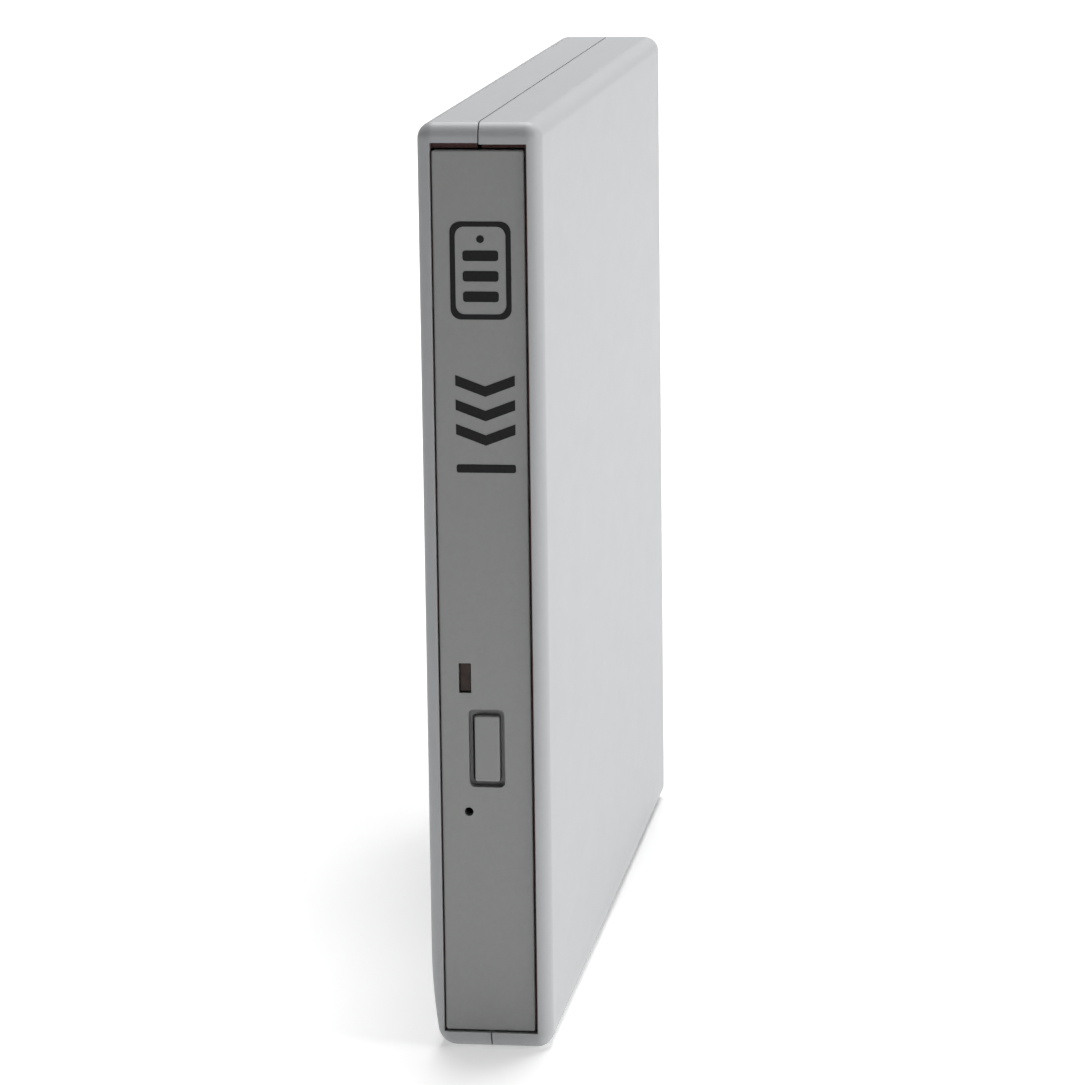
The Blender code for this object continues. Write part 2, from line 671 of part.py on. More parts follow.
def make_traverse_frame(tray):
    """The plate that carries the rods and the lead screw on small posts."""
    outline = [(-16, -8), (-10, -14.5), (8, -14.5), (12, -13), (66.5, -13), (66.5, 14)]
    outline += [(60, 19.8), (-10, 20.9), (-16, 14)]
    base = add("traverse_frame", prism("X", outline, -4.7, -4.1), "black_steel", tray, TRAVERSE)
    posts = []
    for z, half in ((MAIN_ROD_Z, 2.2), (AUX_ROD_Z, 1.7)):
        posts.append(box((-4.4, 9.0, z - half), (-0.6, 11.0, z + half)))
        posts.append(box((-4.4, 64.8, z - half), (-0.6, 66.4, z + half)))
    posts.append(box((-4.4, 56.4, SCREW_Z - 1.9), (-0.9, 58.0, SCREW_Z + 1.9)))
    weld(base, *posts, frame=TRAVERSE)
    cut(base, rod("Y", ROD_LEVEL, MAIN_ROD_Z, 1.6, 8.0, 70.0),
        rod("Y", ROD_LEVEL, AUX_ROD_Z, 1.1, 8.0, 70.0),
        rod("Y", ROD_LEVEL, SCREW_Z, 0.9, 55.0, 60.0), frame=TRAVERSE)
    cut(base, prism("X", rounded(14.0, 62.5, -8.5, 8.5, 2.0), -6.0, -3.0), frame=TRAVERSE)


def make_rods(tray):
    """The two rods that guide the sled."""
    main = stepped("Y", ROD_LEVEL, MAIN_ROD_Z, [(1.3, 9.2), (1.5, 9.5), (1.5, 66.0), (1.3, 66.3)], 20)
    add("main_guide_rod", main, "bright_steel", tray, TRAVERSE)
    aux = stepped("Y", ROD_LEVEL, AUX_ROD_Z, [(0.8, 9.2), (1.0, 9.5), (1.0, 66.0), (0.8, 66.3)], 20)
    add("aux_guide_rod", aux, "bright_steel", tray, TRAVERSE)


def make_deck_plate(tray):
    """The cover round the spindle and the pickup opening."""
    plate = add("deck_plate", prism("X", keyhole(16.2, 12.7, 65.7, 3.7), 0.6, 1.1), "black_steel",
                tray, TRAVERSE)
    cut(plate, rod("X", 0.0, 0.0, ROTOR_RADIUS + 0.8, -1.0, 3.0, 48), frame=TRAVERSE)
    cut(plate, prism("X", rounded(8.0, 63.0, -8.8, 8.8, 2.0), -1.0, 3.0), frame=TRAVERSE)


def make_spindle(tray):
    """The motor with its rubber ring, and the hub with three sprung claws."""
    stator = [(2.0, -3.8), (11.0, -3.8), (11.0, -2.6), (2.0, -2.6)]
    add("spindle_stator", turned("X", 0, 0, stator, 30), "black_steel", tray, TRAVERSE)
    mover = empty("spindle_mover", tray, TRAVERSE)
    steps = [(1.2, -3.7), (1.6, -3.4), (1.6, -2.3), (ROTOR_RADIUS - 0.4, -2.3), (ROTOR_RADIUS, -1.9)]
    steps += [(ROTOR_RADIUS, 1.7), (ROTOR_RADIUS - 0.3, 2.0)]
    add("spindle_rotor", stepped("X", 0, 0, steps, 36), "bright_steel", mover, TRAVERSE)
    ring = [(9.0, 2.2), (11.6, 2.2), (11.6, 3.0), (9.0, 3.0)]
    add("turntable_ring", turned("X", 0, 0, ring, 36), "rubber", mover, TRAVERSE)
    steps = [(8.4, 2.2), (8.4, 2.8), (HUB_RADIUS, 2.8), (HUB_RADIUS, 4.2), (6.7, 4.9), (3.0, 4.9)]
    steps += [(2.6, 4.5)]
    hub = add("clamp_hub", stepped("X", 0, 0, steps, 36), "tray_plastic", mover, TRAVERSE)
    for k in range(3):
        facing = TRAVERSE @ Matrix.Rotation(tau * k / 3, 4, "X")
        cut(hub, box((3.2, 3.6, -1.6), (6.0, 9.0, 1.6)), frame=facing)
        claw_mover = empty(f"claw_{k + 1}_mover", mover, facing)
        steps = [(4.9, 3.6), (8.0, 3.6), (8.0, 3.9), (7.0, 4.6), (4.9, 4.6)]
        claw = prism("Z", [(x, y) for y, x in steps], -1.3, 1.3)
        add(f"clamp_claw_{k + 1}", claw, "connector_plastic", claw_mover, facing)


def make_pickup(tray):
    """The sled with the lens actuator and the lens that floats in it."""
    y = LENS_RADIUS_IN
    lens_place = TRAVERSE @ Matrix.Translation(Vector((0, y, 0)) * MM)
    mover = empty("sled_mover", tray, lens_place)
    sled = add("pickup_sled", box((-3.8, y - 7.0, -13.5), (0.1, y + 6.0, 14.0)), "steel_sheet",
               mover, TRAVERSE)
    weld(sled, box((-3.8, y - 7.0, 13.0), (-0.9, y - 3.6, 19.6)), frame=TRAVERSE)
    cut(sled, rod("Y", ROD_LEVEL, MAIN_ROD_Z, 1.6, y - 9, y + 9),
        rod("Y", ROD_LEVEL, SCREW_Z, 1.35, y - 9, y + 9),
        box((-3.5, y - 9, -15.0), (-1.3, y + 9, -10.1)), frame=TRAVERSE)
    cut(sled, box((-2.6, y - 5.7, -8.0), (2.0, y + 5.0, 8.0)), frame=TRAVERSE)
    actuator = add("lens_actuator", box((-2.3, y - 5.4, -7.7), (0.9, y + 4.7, 7.7)), "black_steel",
                   mover, TRAVERSE)
    cut(actuator, rod("X", y, 0.0, 3.0, -1.6, 3.0, 24), frame=TRAVERSE)
    lens_mover = empty("lens_mover", mover, lens_place)
    steps = [(2.6, -0.8), (2.6, 0.9), (2.3, 1.1), (1.9, 1.1), (1.6, 1.35), (0.8, 1.55)]
    add("objective_lens", stepped("X", y, 0.0, steps, 24), "lens_glass", lens_mover, TRAVERSE)


def make_sled_drive(tray):
    """The motor and the lead screw that move the sled."""
    motor = stepped("Y", -1.95, SCREW_Z, [(1.7, -9.0), (1.9, -8.7), (1.9, 8.7), (1.7, 9.0)], 28)
    add("sled_motor", motor, "bright_steel", tray, TRAVERSE)
    place = TRAVERSE @ Matrix.Translation(Vector((ROD_LEVEL, 10.0, SCREW_Z)) * MM)
    mover = empty("lead_screw_mover", tray, place)
    root_radius, crest = SCREW_RADII
    steps = [(root_radius, 9.3)]
    for k in range(15):
        level = 10.5 + k * SCREW_PITCH
        steps += [(root_radius, level + 0.1), (crest, level + 0.6), (crest, level + 2.4)]
        steps.append((root_radius, level + 2.9))
    steps += [(0.7, 56.4), (0.7, 58.2)]
    add("lead_screw", stepped("Y", ROD_LEVEL, SCREW_Z, steps, 10), "brass", mover, TRAVERSE)


# ---- latch --------------------------------------------------------------------------------------


def make_latch(tray):
    """The lever that hooks behind the lock post, and the solenoid that frees it."""
    y, z = LATCH_PIVOT
    mover = empty("latch_mover", tray, spot(-2.8, y, z))
    latched = [(-2.0, -4.2), (3.7, -4.2), (3.7, -8.2), (5.9, -8.2), (5.9, -3.0)]
    latched += [(3.0, 2.2), (0.0, 2.6), (-2.4, 1.8), (-4.6, -0.8), (-4.6, -2.8)]
    freed = spot(0.0, y, z) @ Matrix.Rotation(LATCH_SWING, 4, "X")
    lever = add("latch_lever", prism("X", latched, -3.6, -2.2), "button_plastic", mover, freed)
    cut(lever, rod("X", y, z, 1.1, -5.0, 0.0))
    steps = [(0.6, -4.6), (0.95, -4.4), (0.95, -0.4), (0.6, -0.1)]
    add("latch_pin", stepped("X", y, z, steps, 20), "bright_steel", tray)
    solenoid = add("latch_solenoid", box((-4.4, -47.0, 33.0), (-0.2, -35.0, 43.5)), "steel_sheet", tray)
    x, z = SOLENOID_AXIS
    cut(solenoid, rod("Y", x, z, 1.0, -48.0, -39.0))
    plunger_mover = empty("solenoid_plunger_mover", tray, spot(x, -47.0, z))
    steps = [(0.6, -54.0), (0.75, -53.8), (0.75, -42.0)]
    add("solenoid_plunger", stepped("Y", x, z, steps, 16), "bright_steel", plunger_mover)


for old in list(bpy.data.objects):
    bpy.data.objects.remove(old)

ASSEMBLY = Matrix.Translation(Vector((FOOT_PROUD / 2, 0, 0)) * MM)
TRAVERSE = spot(0.0, *DISC_CENTRE, TRAVERSE_TURN)

make_materials()
case_root = empty("case_root", None, ASSEMBLY)
make_upper_case(case_root)
make_lower_case(case_root)
make_case_fittings(case_root)
make_bridge(case_root)
make_usb_socket(case_root)
make_power_jack(case_root)
make_chassis(case_root)
make_top_cover(case_root)
make_connector(case_root)
make_lock_post(case_root)
make_rails(case_root)
make_ejector(case_root)
make_flex_cable(case_root)

tray_root = empty("tray_mover", case_root, spot(0.0, TRAY_FRONT, MID))
make_tray(tray_root)
make_bezel(tray_root)
make_button(tray_root)
make_tray_shield(tray_root)
make_main_board(tray_root)
make_traverse_frame(tray_root)
make_rods(tray_root)
make_deck_plate(tray_root)
make_spindle(tray_root)
make_pickup(tray_root)
make_sled_drive(tray_root)
make_latch(tray_root)
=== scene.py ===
"""Looks of the external optical drive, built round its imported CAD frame."""

import json
from math import atan2, cos, pi, radians, sin, sqrt, tau

import bmesh
import bpy
from mathutils import Matrix, Vector


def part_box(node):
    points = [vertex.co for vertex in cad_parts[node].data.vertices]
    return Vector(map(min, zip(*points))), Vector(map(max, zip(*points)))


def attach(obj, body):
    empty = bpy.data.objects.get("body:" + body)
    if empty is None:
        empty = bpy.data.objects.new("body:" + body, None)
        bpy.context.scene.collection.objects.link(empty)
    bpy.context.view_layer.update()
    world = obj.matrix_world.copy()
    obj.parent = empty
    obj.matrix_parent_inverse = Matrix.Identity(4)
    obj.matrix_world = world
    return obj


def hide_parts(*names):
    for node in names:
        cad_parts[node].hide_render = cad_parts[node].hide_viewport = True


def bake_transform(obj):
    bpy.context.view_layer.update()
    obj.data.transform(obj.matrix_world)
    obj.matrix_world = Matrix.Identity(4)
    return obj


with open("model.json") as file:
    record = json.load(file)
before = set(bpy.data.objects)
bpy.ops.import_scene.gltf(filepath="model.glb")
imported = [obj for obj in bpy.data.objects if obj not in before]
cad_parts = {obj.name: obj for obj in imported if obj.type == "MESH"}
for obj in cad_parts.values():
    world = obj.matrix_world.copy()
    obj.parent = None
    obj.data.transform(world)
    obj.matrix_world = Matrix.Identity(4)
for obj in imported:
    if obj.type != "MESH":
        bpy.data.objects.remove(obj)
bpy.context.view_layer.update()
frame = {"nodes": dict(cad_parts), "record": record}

MM = 0.001

# The case, in millimetres from the seam plane
HALF = 8.9
FRONT = -75.0
BACK = 75.0
HEIGHT = 134.6
EDGE_RADIUS = 2.4
FRONT_FILLET = 2.2
BACK_FILLET = 0.5
CORNER_STEPS = 14
BELLY_TOP = 14.4
BELLY_DEPTH = 1.25
BELLY_STEPS = 18
EDGE_SOFTNESS = 0.16
SEAM_HALF = 0.1
TONGUE = 1.5
CAVITY = ((-7.1, FRONT + 1.6, 2.0), (7.1, BACK - 2.0, HEIGHT - 2.2))
MOUTH = ((-6.95, FRONT - 1.0, 2.4), (6.8, FRONT + 2.5, 131.75))
UPPER_MOUTH_TOP = 131.55
CASE_SCREWS = {"case_screw_right": (66.0, 10.5), "case_screw_left": (66.0, HEIGHT - 10.5)}
BOARD_SCREWS = {"board_screw_right": (64.0, 26.0), "board_screw_left": (64.0, 108.0)}
POST_RADIUS = 2.6
POST_BORE = 1.0
SLEEVE_RADIUS = 3.3
HEAD_BORE = 2.4
SHANK_BORE = 1.2
STANDOFF_RADIUS = 2.0
STANDOFF_BORE = 1.1
FOOT_SPOTS = {
    "foot_front_right": (-60.0, 14.0),
    "foot_front_left": (-60.0, HEIGHT - 14.0),
    "foot_back_right": (48.0, 14.0),
    "foot_back_left": (48.0, HEIGHT - 14.0),
}
FOOT_RADIUS = 4.8
USB_SHELL = (-1.7, 2.2, 96.0, 103.7)
POWER_AXIS = (1.6, 38.5)

# The tray and what shows on it
MID = 66.67
BEZEL_FACE = (-6.70, 6.375, MID - 64.0, MID + 64.0)
BEZEL_Y = (FRONT + 0.4, FRONT + 3.4)
INK_Y = (BEZEL_Y[0] - 0.03, BEZEL_Y[0] + 0.02)
BUTTON_POCKET = (-2.70, 2.50, 39.0, 50.45)
POCKET_DEPTH = 1.3
BUTTON_FACE = (-1.85, 1.75, 39.85, 49.45)
BUTTON_HOLE = (-2.28, 1.81, 39.65, 49.51)
LED_FACE = (-3.93, -2.33, 52.95, 57.10)
RELEASE_HOLE = (-2.83, 35.34)
RELEASE_RADIUS = 0.65
TRAY_FRONT = -71.3
TRAY_BACK = 51.0
TRAY_TOP = 4.4
TRAY_FLOOR = -4.7
TRAY_WALL = 1.3
PLATE_HALF = 59.67
BODY_HALF = 57.1
WING_X = (-2.5, -1.8)
WING_HALF = (56.0, 59.47)
DISC_CENTRE = (-9.0, MID)
DISC_RADIUS = 60.5
SMALL_DISC_RADIUS = 40.5
DISC_FLOOR = 2.0
SMALL_DISC_FLOOR = 1.4
THUMB_NOTCH = (DISC_CENTRE[0] - 52.0, MID, 13.0)
OPENING = (16.5, 13.0, 66.0)
ROTOR_RADIUS = 12.0
HUB_RADIUS = 7.35
LENS_RADIUS_IN = 23.5
ROD_LEVEL = -2.4
MAIN_ROD_Z = 11.5
SCREW_Z = 17.5
RAIL_X = (-3.4, -0.9)
RAIL_HALF = (60.37, 58.07)
RAIL_Y = (-62.0, 48.0)
FLEX_X = (-5.68, -2.9)
FLEX_Z = (34.5, 46.5)
FLEX_FOLD = -25.0
FLEX_FILM = 0.14
EJECTOR_AXIS = (-2.3, 18.0)

SEAM = (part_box("upper_case")[1].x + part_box("lower_case")[0].x) / 2
PLACE = Matrix.Translation((SEAM, 0, 0)) @ Matrix.Scale(MM, 4)
TRAVERSE = PLACE @ Matrix.Translation((0, *DISC_CENTRE)) @ Matrix.Rotation(radians(42.0), 4, "X")


# ---- materials --------------------------------------------------------------------------


class Surface:
    """A Principled material whose colour, roughness and bump are built from nodes."""

    def __init__(self, name, roughness=0.5, metallic=0.0, **sockets):
        self.material = bpy.data.materials.new(name)
        self.material.use_nodes = True
        self.tree = self.material.node_tree
        self.shader = self.tree.nodes["Principled BSDF"]
        self.shader.inputs["Roughness"].default_value = roughness
        self.shader.inputs["Metallic"].default_value = metallic
        for socket, value in sockets.items():
            self.shader.inputs[socket.replace("_", " ")].default_value = value
        self.place = self.tree.nodes.new("ShaderNodeTexCoord").outputs["Object"]
        self.normal = None

    def node(self, kind, **inputs):
        """A shader node with these inputs set or linked."""
        made = self.tree.nodes.new("ShaderNode" + kind)
        for socket, value in inputs.items():
            self.feed(made, socket.replace("_", " "), value)
        return made

    def feed(self, node, socket, value):
        """Links an input to another node's output, or sets it to a plain value."""
        if isinstance(value, bpy.types.NodeSocket):
            self.tree.links.new(value, node.inputs[socket])
        else:
            node.inputs[socket].default_value = value

    def noise(self, size, detail=3.0, rough=0.55, stretch=None):
        """Noise whose lumps are about size metres across."""
        place = self.place
        if stretch:
            mapped = self.node("Mapping", Vector=place)
            mapped.inputs["Scale"].default_value = stretch
            place = mapped.outputs["Vector"]
        made = self.node("TexNoise", Vector=place, Scale=1.0 / size, Detail=detail, Roughness=rough)
        return made.outputs["Fac"]

    def ramp(self, value, stops):
        """Colours or greys along a value: stops are (position, colour)."""
        made = self.node("ValToRGB", Fac=value)
        elements = made.color_ramp.elements
        while len(elements) < len(stops):
            elements.new(0.5)
        for element, (position, colour) in zip(elements, stops):
            element.position = position
            element.color = (*colour, 1.0) if len(colour) == 3 else colour
        return made.outputs["Color"]

    def span(self, value, low, high):
        """A value from 0 to 1 moved to the range from low to high."""
        made = self.node("MapRange", Value=value, To_Min=low, To_Max=high)
        return made.outputs["Result"]

    def mix(self, a, b, share):
        """Colour a turned towards colour b by this share."""
        made = self.tree.nodes.new("ShaderNodeMix")
        made.data_type = "RGBA"
        self.feed(made, "Factor", share)
        for socket, value in ((6, a), (7, b)):
            if isinstance(value, bpy.types.NodeSocket):
                self.tree.links.new(value, made.inputs[socket])
            else:
                made.inputs[socket].default_value = (*value, 1.0)
        return made.outputs[2]

    def colour(self, value):
        """Links the base colour."""
        self.tree.links.new(value, self.shader.inputs["Base Color"])

    def roughness(self, value):
        """Links the roughness."""
        self.tree.links.new(value, self.shader.inputs["Roughness"])

    def bump(self, height, depth, strength=1.0):
        """Adds a bump layer of this depth in metres."""
        made = self.node("Bump", Height=height, Distance=depth, Strength=strength)
        if self.normal is not None:
            self.tree.links.new(self.normal, made.inputs["Normal"])
        self.normal = made.outputs["Normal"]
        self.tree.links.new(self.normal, self.shader.inputs["Normal"])


def shade(colour, factor):
    """A colour made lighter or darker."""
    return tuple(min(channel * factor, 1.0) for channel in colour)


def satin_plastic(name, colour, roughness=0.48, grain=0.22 * MM, relief=0.006 * MM, specks=0.5,
                  mottle=0.02, gloss=0.5):
    """Moulded plastic with a spark-eroded grain, faint clouding, scuffs and dust specks."""
    made = Surface(name, roughness, IOR=1.5, Specular_IOR_Level=gloss)
    cloud = made.noise(22 * MM, 4.0)
    fine = made.noise(grain, 4.0, 0.6)
    tint = made.ramp(cloud, [(0.3, shade(colour, 0.985)), (0.7, shade(colour, 1.01))])
    uneven = made.noise(0.7 * MM, 3.0, 0.7)
    patches = made.ramp(uneven, [(0.3, shade(colour, 1 - mottle)), (0.7, shade(colour, 1 + mottle))])
    tint = made.mix(tint, patches, 0.7)
    speckle = made.node("TexVoronoi", Vector=made.place, Scale=1 / (2.6 * MM))
    dots = made.ramp(speckle.outputs["Distance"], [(0.0, (1, 1, 1)), (0.045, (0, 0, 0))])
    rare = made.ramp(made.noise(7 * MM, 2.0), [(0.62, (0, 0, 0)), (0.66, (specks,) * 3)])
    spots = made.node("Math", Value=dots)
    spots.operation = "MULTIPLY"
    made.feed(spots, 1, rare)
    made.colour(made.mix(tint, shade(colour, 0.42), spots.outputs["Value"]))
    scuff = made.noise(3 * MM, 6.0, 0.7, stretch=(1.0, 0.25, 0.6))
    made.roughness(made.span(scuff, roughness - 0.07, roughness + 0.09))
    made.bump(fine, relief)
    made.bump(made.noise(6 * MM, 2.0), 0.004 * MM)
    return made.material


def sheet_steel(name, colour=(0.56, 0.56, 0.55), roughness=0.34, along="Y", spangle=True):
    """Zinc-plated or rolled sheet with rolling lines, spangle and light smudges."""
    made = Surface(name, roughness, 1.0)
    stretch = {"X": (0.03, 1, 1), "Y": (1, 0.03, 1), "Z": (1, 1, 0.03)}[along]
    lines = made.noise(0.3 * MM, 5.0, 0.6, stretch=stretch)
    smudge = made.noise(14 * MM, 5.0, 0.6)
    tint = made.ramp(smudge, [(0.25, shade(colour, 0.8)), (0.6, colour), (0.85, shade(colour, 1.12))])
    if spangle:
        cells = made.node("TexVoronoi", Vector=made.place, Scale=1 / (3.2 * MM))
        grey = made.ramp(cells.outputs["Color"], [(0.0, shade(colour, 0.86)), (1.0, shade(colour, 1.1))])
        tint = made.mix(tint, grey, 0.35)
    made.colour(tint)
    rough = made.noise(9 * MM, 5.0, 0.65)
    made.roughness(made.span(rough, roughness - 0.1, roughness + 0.16))
    made.bump(lines, 0.003 * MM)
    return made.material


def bright_metal(name, colour=(0.78, 0.77, 0.75), roughness=0.2):
    """Turned or ground metal with fine tool marks and light tarnish."""
    made = Surface(name, roughness, 1.0)
    tarnish = made.noise(4 * MM, 5.0, 0.6)
    made.colour(made.ramp(tarnish, [(0.3, shade(colour, 0.82)), (0.65, colour)]))
    marks = made.noise(0.12 * MM, 4.0)
    made.roughness(made.span(marks, roughness - 0.06, roughness + 0.14))
    made.bump(marks, 0.0015 * MM)
    return made.material


def black_coat(name, colour=(0.018, 0.018, 0.02), roughness=0.42, metallic=0.0):
    """Black paint or moulding with fine grain and grey rubbed patches."""
    made = Surface(name, roughness, metallic)
    patch = made.noise(8 * MM, 5.0, 0.65)
    rubbed = shade(colour, 1.9)
    made.colour(made.ramp(patch, [(0.35, colour), (0.75, rubbed)]))
    grain = made.noise(0.16 * MM, 4.0)
    made.roughness(made.span(grain, roughness - 0.08, roughness + 0.12))
    made.bump(grain, 0.006 * MM)
    return made.material


def circuit_board(name):
    """Green solder mask over a pattern of copper tracks and plated pads."""
    made = Surface(name, 0.32, Coat_Weight=0.4, Coat_Roughness=0.15)
    tracks = made.node("TexBrick", Vector=made.place, Scale=1 / (5 * MM))
    tracks.offset = 0.5
    tracks.squash = 2.0
    made.feed(tracks, "Mortar Size", 0.045)
    wander = made.noise(2.5 * MM, 2.0)
    mask = made.ramp(wander, [(0.3, (0.006, 0.07, 0.03)), (0.7, (0.012, 0.12, 0.05))])
    copper = made.ramp(tracks.outputs["Fac"], [(0.0, (0, 0, 0)), (1.0, (1, 1, 1))])
    made.colour(made.mix(mask, (0.03, 0.2, 0.09), copper))
    made.bump(tracks.outputs["Fac"], 0.02 * MM)
    made.roughness(made.span(made.noise(1.5 * MM, 3.0), 0.24, 0.42))
    return made.material


def rubber(name):
    """Matt rubber with a fine grain."""
    made = Surface(name, 0.78)
    made.colour(made.ramp(made.noise(1.5 * MM, 5.0), [(0.3, (0.022,) * 3), (0.75, (0.05,) * 3)]))
    made.bump(made.noise(0.15 * MM, 4.0), 0.012 * MM)
    made.roughness(made.span(made.noise(2 * MM, 4.0), 0.68, 0.9))
    return made.material


def light_window(name):
    """Dark smoked plastic over the activity light."""
    made = Surface(name, 0.2, IOR=1.45, Specular_IOR_Level=0.4)
    depth = made.noise(1.4 * MM, 3.0)
    made.colour(made.ramp(depth, [(0.3, (0.020, 0.009, 0.006)), (0.75, (0.048, 0.021, 0.014))]))
    made.roughness(made.span(made.noise(0.6 * MM, 4.0), 0.12, 0.28))
    return made.material


def lens_glass(name):
    """The lens, its coating's reflection painted into its colour by the angle of view: dark blue where
    it faces the view, then violet, and pale blue-grey at its rim.
    """
    made = Surface(name, 0.04, IOR=1.6, Coat_Weight=1.0, Coat_Roughness=0.02)
    facing = made.node("LayerWeight", Blend=0.35).outputs["Facing"]
    # painted reflection: the colour lightens where the surface turns away from the view
    stops = [(0.0, (0.03, 0.05, 0.16)), (0.5, (0.10, 0.05, 0.22)), (1.0, (0.2, 0.3, 0.4))]
    made.colour(made.ramp(facing, stops))
    made.roughness(made.span(made.noise(0.5 * MM, 2.0), 0.02, 0.07))
    return made.material


def amber_film(name):
    """Flat cable: copper tracks under amber film."""
    made = Surface(name, 0.3, Coat_Weight=0.7, Coat_Roughness=0.12)
    across = made.node("SeparateXYZ", Vector=made.place).outputs["Z"]
    wave = made.node("Math", Value=across)
    wave.operation = "MULTIPLY"
    wave.inputs[1].default_value = tau / (0.7 * MM)
    sine = made.node("Math", Value=wave.outputs["Value"])
    sine.operation = "SINE"
    tracks = made.ramp(sine.outputs["Value"], [(0.35, (0.42, 0.2, 0.05)), (0.6, (0.62, 0.36, 0.13))])
    made.colour(made.mix(tracks, (0.3, 0.13, 0.03), made.span(made.noise(3 * MM), 0.0, 0.35)))
    made.roughness(made.span(made.noise(1.0 * MM), 0.2, 0.4))
    return made.material


def ink(name, colour=(0.009, 0.009, 0.010)):
    """Pad-printed ink: nearly even, slightly thin in places."""
    made = Surface(name, 0.55, Specular_IOR_Level=0.25)
    made.colour(made.ramp(made.noise(0.35 * MM, 4.0), [(0.35, colour), (0.8, shade(colour, 1.8))]))
    made.roughness(made.span(made.noise(0.3 * MM, 3.0), 0.5, 0.68))
    return made.material


def gap_shade_finish(name):
    """Dark red-brown sheet with an open grain: painted shade for the gaps round the bezel."""
    made = Surface(name, 0.85)
    stops = [(0.3, (0.060, 0.026, 0.023)), (0.75, (0.150, 0.072, 0.062))]
    made.colour(made.ramp(made.noise(0.3 * MM, 5.0), stops))
    made.bump(made.noise(0.2 * MM, 4.0), 0.05 * MM)
    made.roughness(made.span(made.noise(0.5 * MM), 0.75, 0.95))
    return made.material


FINISHES = {
    "case_plastic": satin_plastic("case_plastic", (0.448, 0.456, 0.466), gloss=0.35),
    "bezel_plastic": satin_plastic("bezel_plastic", (0.297, 0.304, 0.299), 0.5, 0.26 * MM, 0.007 * MM,
                                   mottle=0.05),
    "button_plastic": satin_plastic("button_plastic", (0.290, 0.296, 0.292), 0.46),
    "led_lens": light_window("led_lens"),
    "tray_plastic": black_coat("tray_plastic", (0.02, 0.02, 0.022), 0.5),
    "steel_sheet": sheet_steel("steel_sheet"),
    "bright_steel": bright_metal("bright_steel"),
    "black_steel": black_coat("black_steel", (0.02, 0.02, 0.022), 0.36, 0.5),
    "rail_plastic": black_coat("rail_plastic", (0.05, 0.05, 0.052), 0.5),
    "board": circuit_board("board"),
    "chip": black_coat("chip", (0.016, 0.016, 0.017), 0.5),
    "connector_plastic": satin_plastic("connector_plastic", (0.62, 0.57, 0.45), 0.5, specks=0.0),
    "jack_plastic": black_coat("jack_plastic", (0.02, 0.02, 0.02), 0.4),
    "rubber": rubber("rubber"),
    "brass": bright_metal("brass", (0.75, 0.56, 0.27), 0.26),
    "lens_glass": lens_glass("lens_glass"),
    "flex_film": amber_film("flex_film"),
}
INK = ink("print_ink")
COPPER = bright_metal("coil_copper", (0.78, 0.36, 0.17), 0.3)
# painted shade: the dark red-brown sheet set behind the gaps round the bezel
GAP_SHADE = gap_shade_finish("gap_shade_sheet")
GOLD = bright_metal("contact_gold", (0.86, 0.62, 0.24), 0.22)


# ---- shapes: solids are lists of points and faces, in millimetres from the seam --------------


def grown(face, by):
    """A rectangle (a0, a1, b0, b1) made larger on every side."""
    a0, a1, b0, b1 = face
    return a0 - by, a1 + by, b0 - by, b1 + by


def rounded(a0, a1, b0, b1, radius, steps=6):
    """A rectangle with round corners."""
    centres = [(a1 - radius, b0 + radius), (a1 - radius, b1 - radius)]
    centres += [(a0 + radius, b1 - radius), (a0 + radius, b0 + radius)]
    points = []
    for quarter, (ca, cb) in enumerate(centres):
        for step in range(steps + 1):
            turn = pi / 2 * (quarter - 1 + step / steps)
            points.append((ca + radius * cos(turn), cb + radius * sin(turn)))
    return points


def circle(a, b, radius, sides=48):
    """A regular polygon with its corners on the circle."""
    return [(a + radius * cos(tau * k / sides), b + radius * sin(tau * k / sides)) for k in range(sides)]


def keyhole(radius, half_width, length, corner, steps=64):
    """A round end about the origin that runs into a straight band towards +a."""
    start = atan2(half_width, sqrt(radius**2 - half_width**2))
    points = []
    for step in range(steps + 1):
        turn = start + (tau - 2 * start) * step / steps
        points.append((radius * cos(turn), radius * sin(turn)))
    for quarter, cb in ((-1, -half_width + corner), (0, half_width - corner)):
        for step in range(9):
            turn = pi / 2 * (quarter + step / 8)
            points.append((length - corner + corner * cos(turn), cb + corner * sin(turn)))
    return points


def along(axis, level, a, b):
    """The point at this level of an axis, with the two other coordinates a and b."""
    if axis == "X":
        return (level, a, b)
    if axis == "Y":
        return (a, level, b)
    return (a, b, level)


def loft(loops):
    """Skin between loops with the same number of points, closed by a face at each end."""
    size = len(loops[0])
    points = [point for loop in loops for point in loop]
    faces = [list(range(size)), list(range(len(points) - size, len(points)))]
    for row in range(len(loops) - 1):
        for k in range(size):
            here = row * size + k
            right = row * size + (k + 1) % size
            faces.append([here, right, right + size, here + size])
    return points, faces


def prism(axis, outline, low, high):
    """An outline pushed along an axis from low to high."""
    return loft([[along(axis, level, a, b) for a, b in outline] for level in (low, high)])


def box(low, high):
    """A plain block between two corners."""
    outline = [(low[1], low[2]), (high[1], low[2]), (high[1], high[2]), (low[1], high[2])]
    return prism("X", outline, low[0], high[0])


def rod(axis, a, b, radius, low, high, sides=48):
    """A round bar along an axis."""
    return prism(axis, circle(a, b, radius, sides), low, high)


def stepped(axis, a, b, steps, sides=64):
    """A solid bar whose radius changes: steps are (radius, level) from one end to the other."""
    return loft([[along(axis, level, p, q) for p, q in circle(a, b, r, sides)] for r, level in steps])


def turned(axis, a, b, profile, sides=64):
    """A ring turned about an axis from a closed outline of (radius, level) points."""
    points = []
    faces = []
    count = len(profile)
    for k in range(sides):
        turn = tau * k / sides
        for radius, level in profile:
            points.append(along(axis, level, a + radius * cos(turn), b + radius * sin(turn)))
        for j in range(count):
            here = k * count + j
            over = k * count + (j + 1) % count
            right = (k + 1) % sides * count
            faces.append([here, over, right + (j + 1) % count, right + j])
    return points, faces


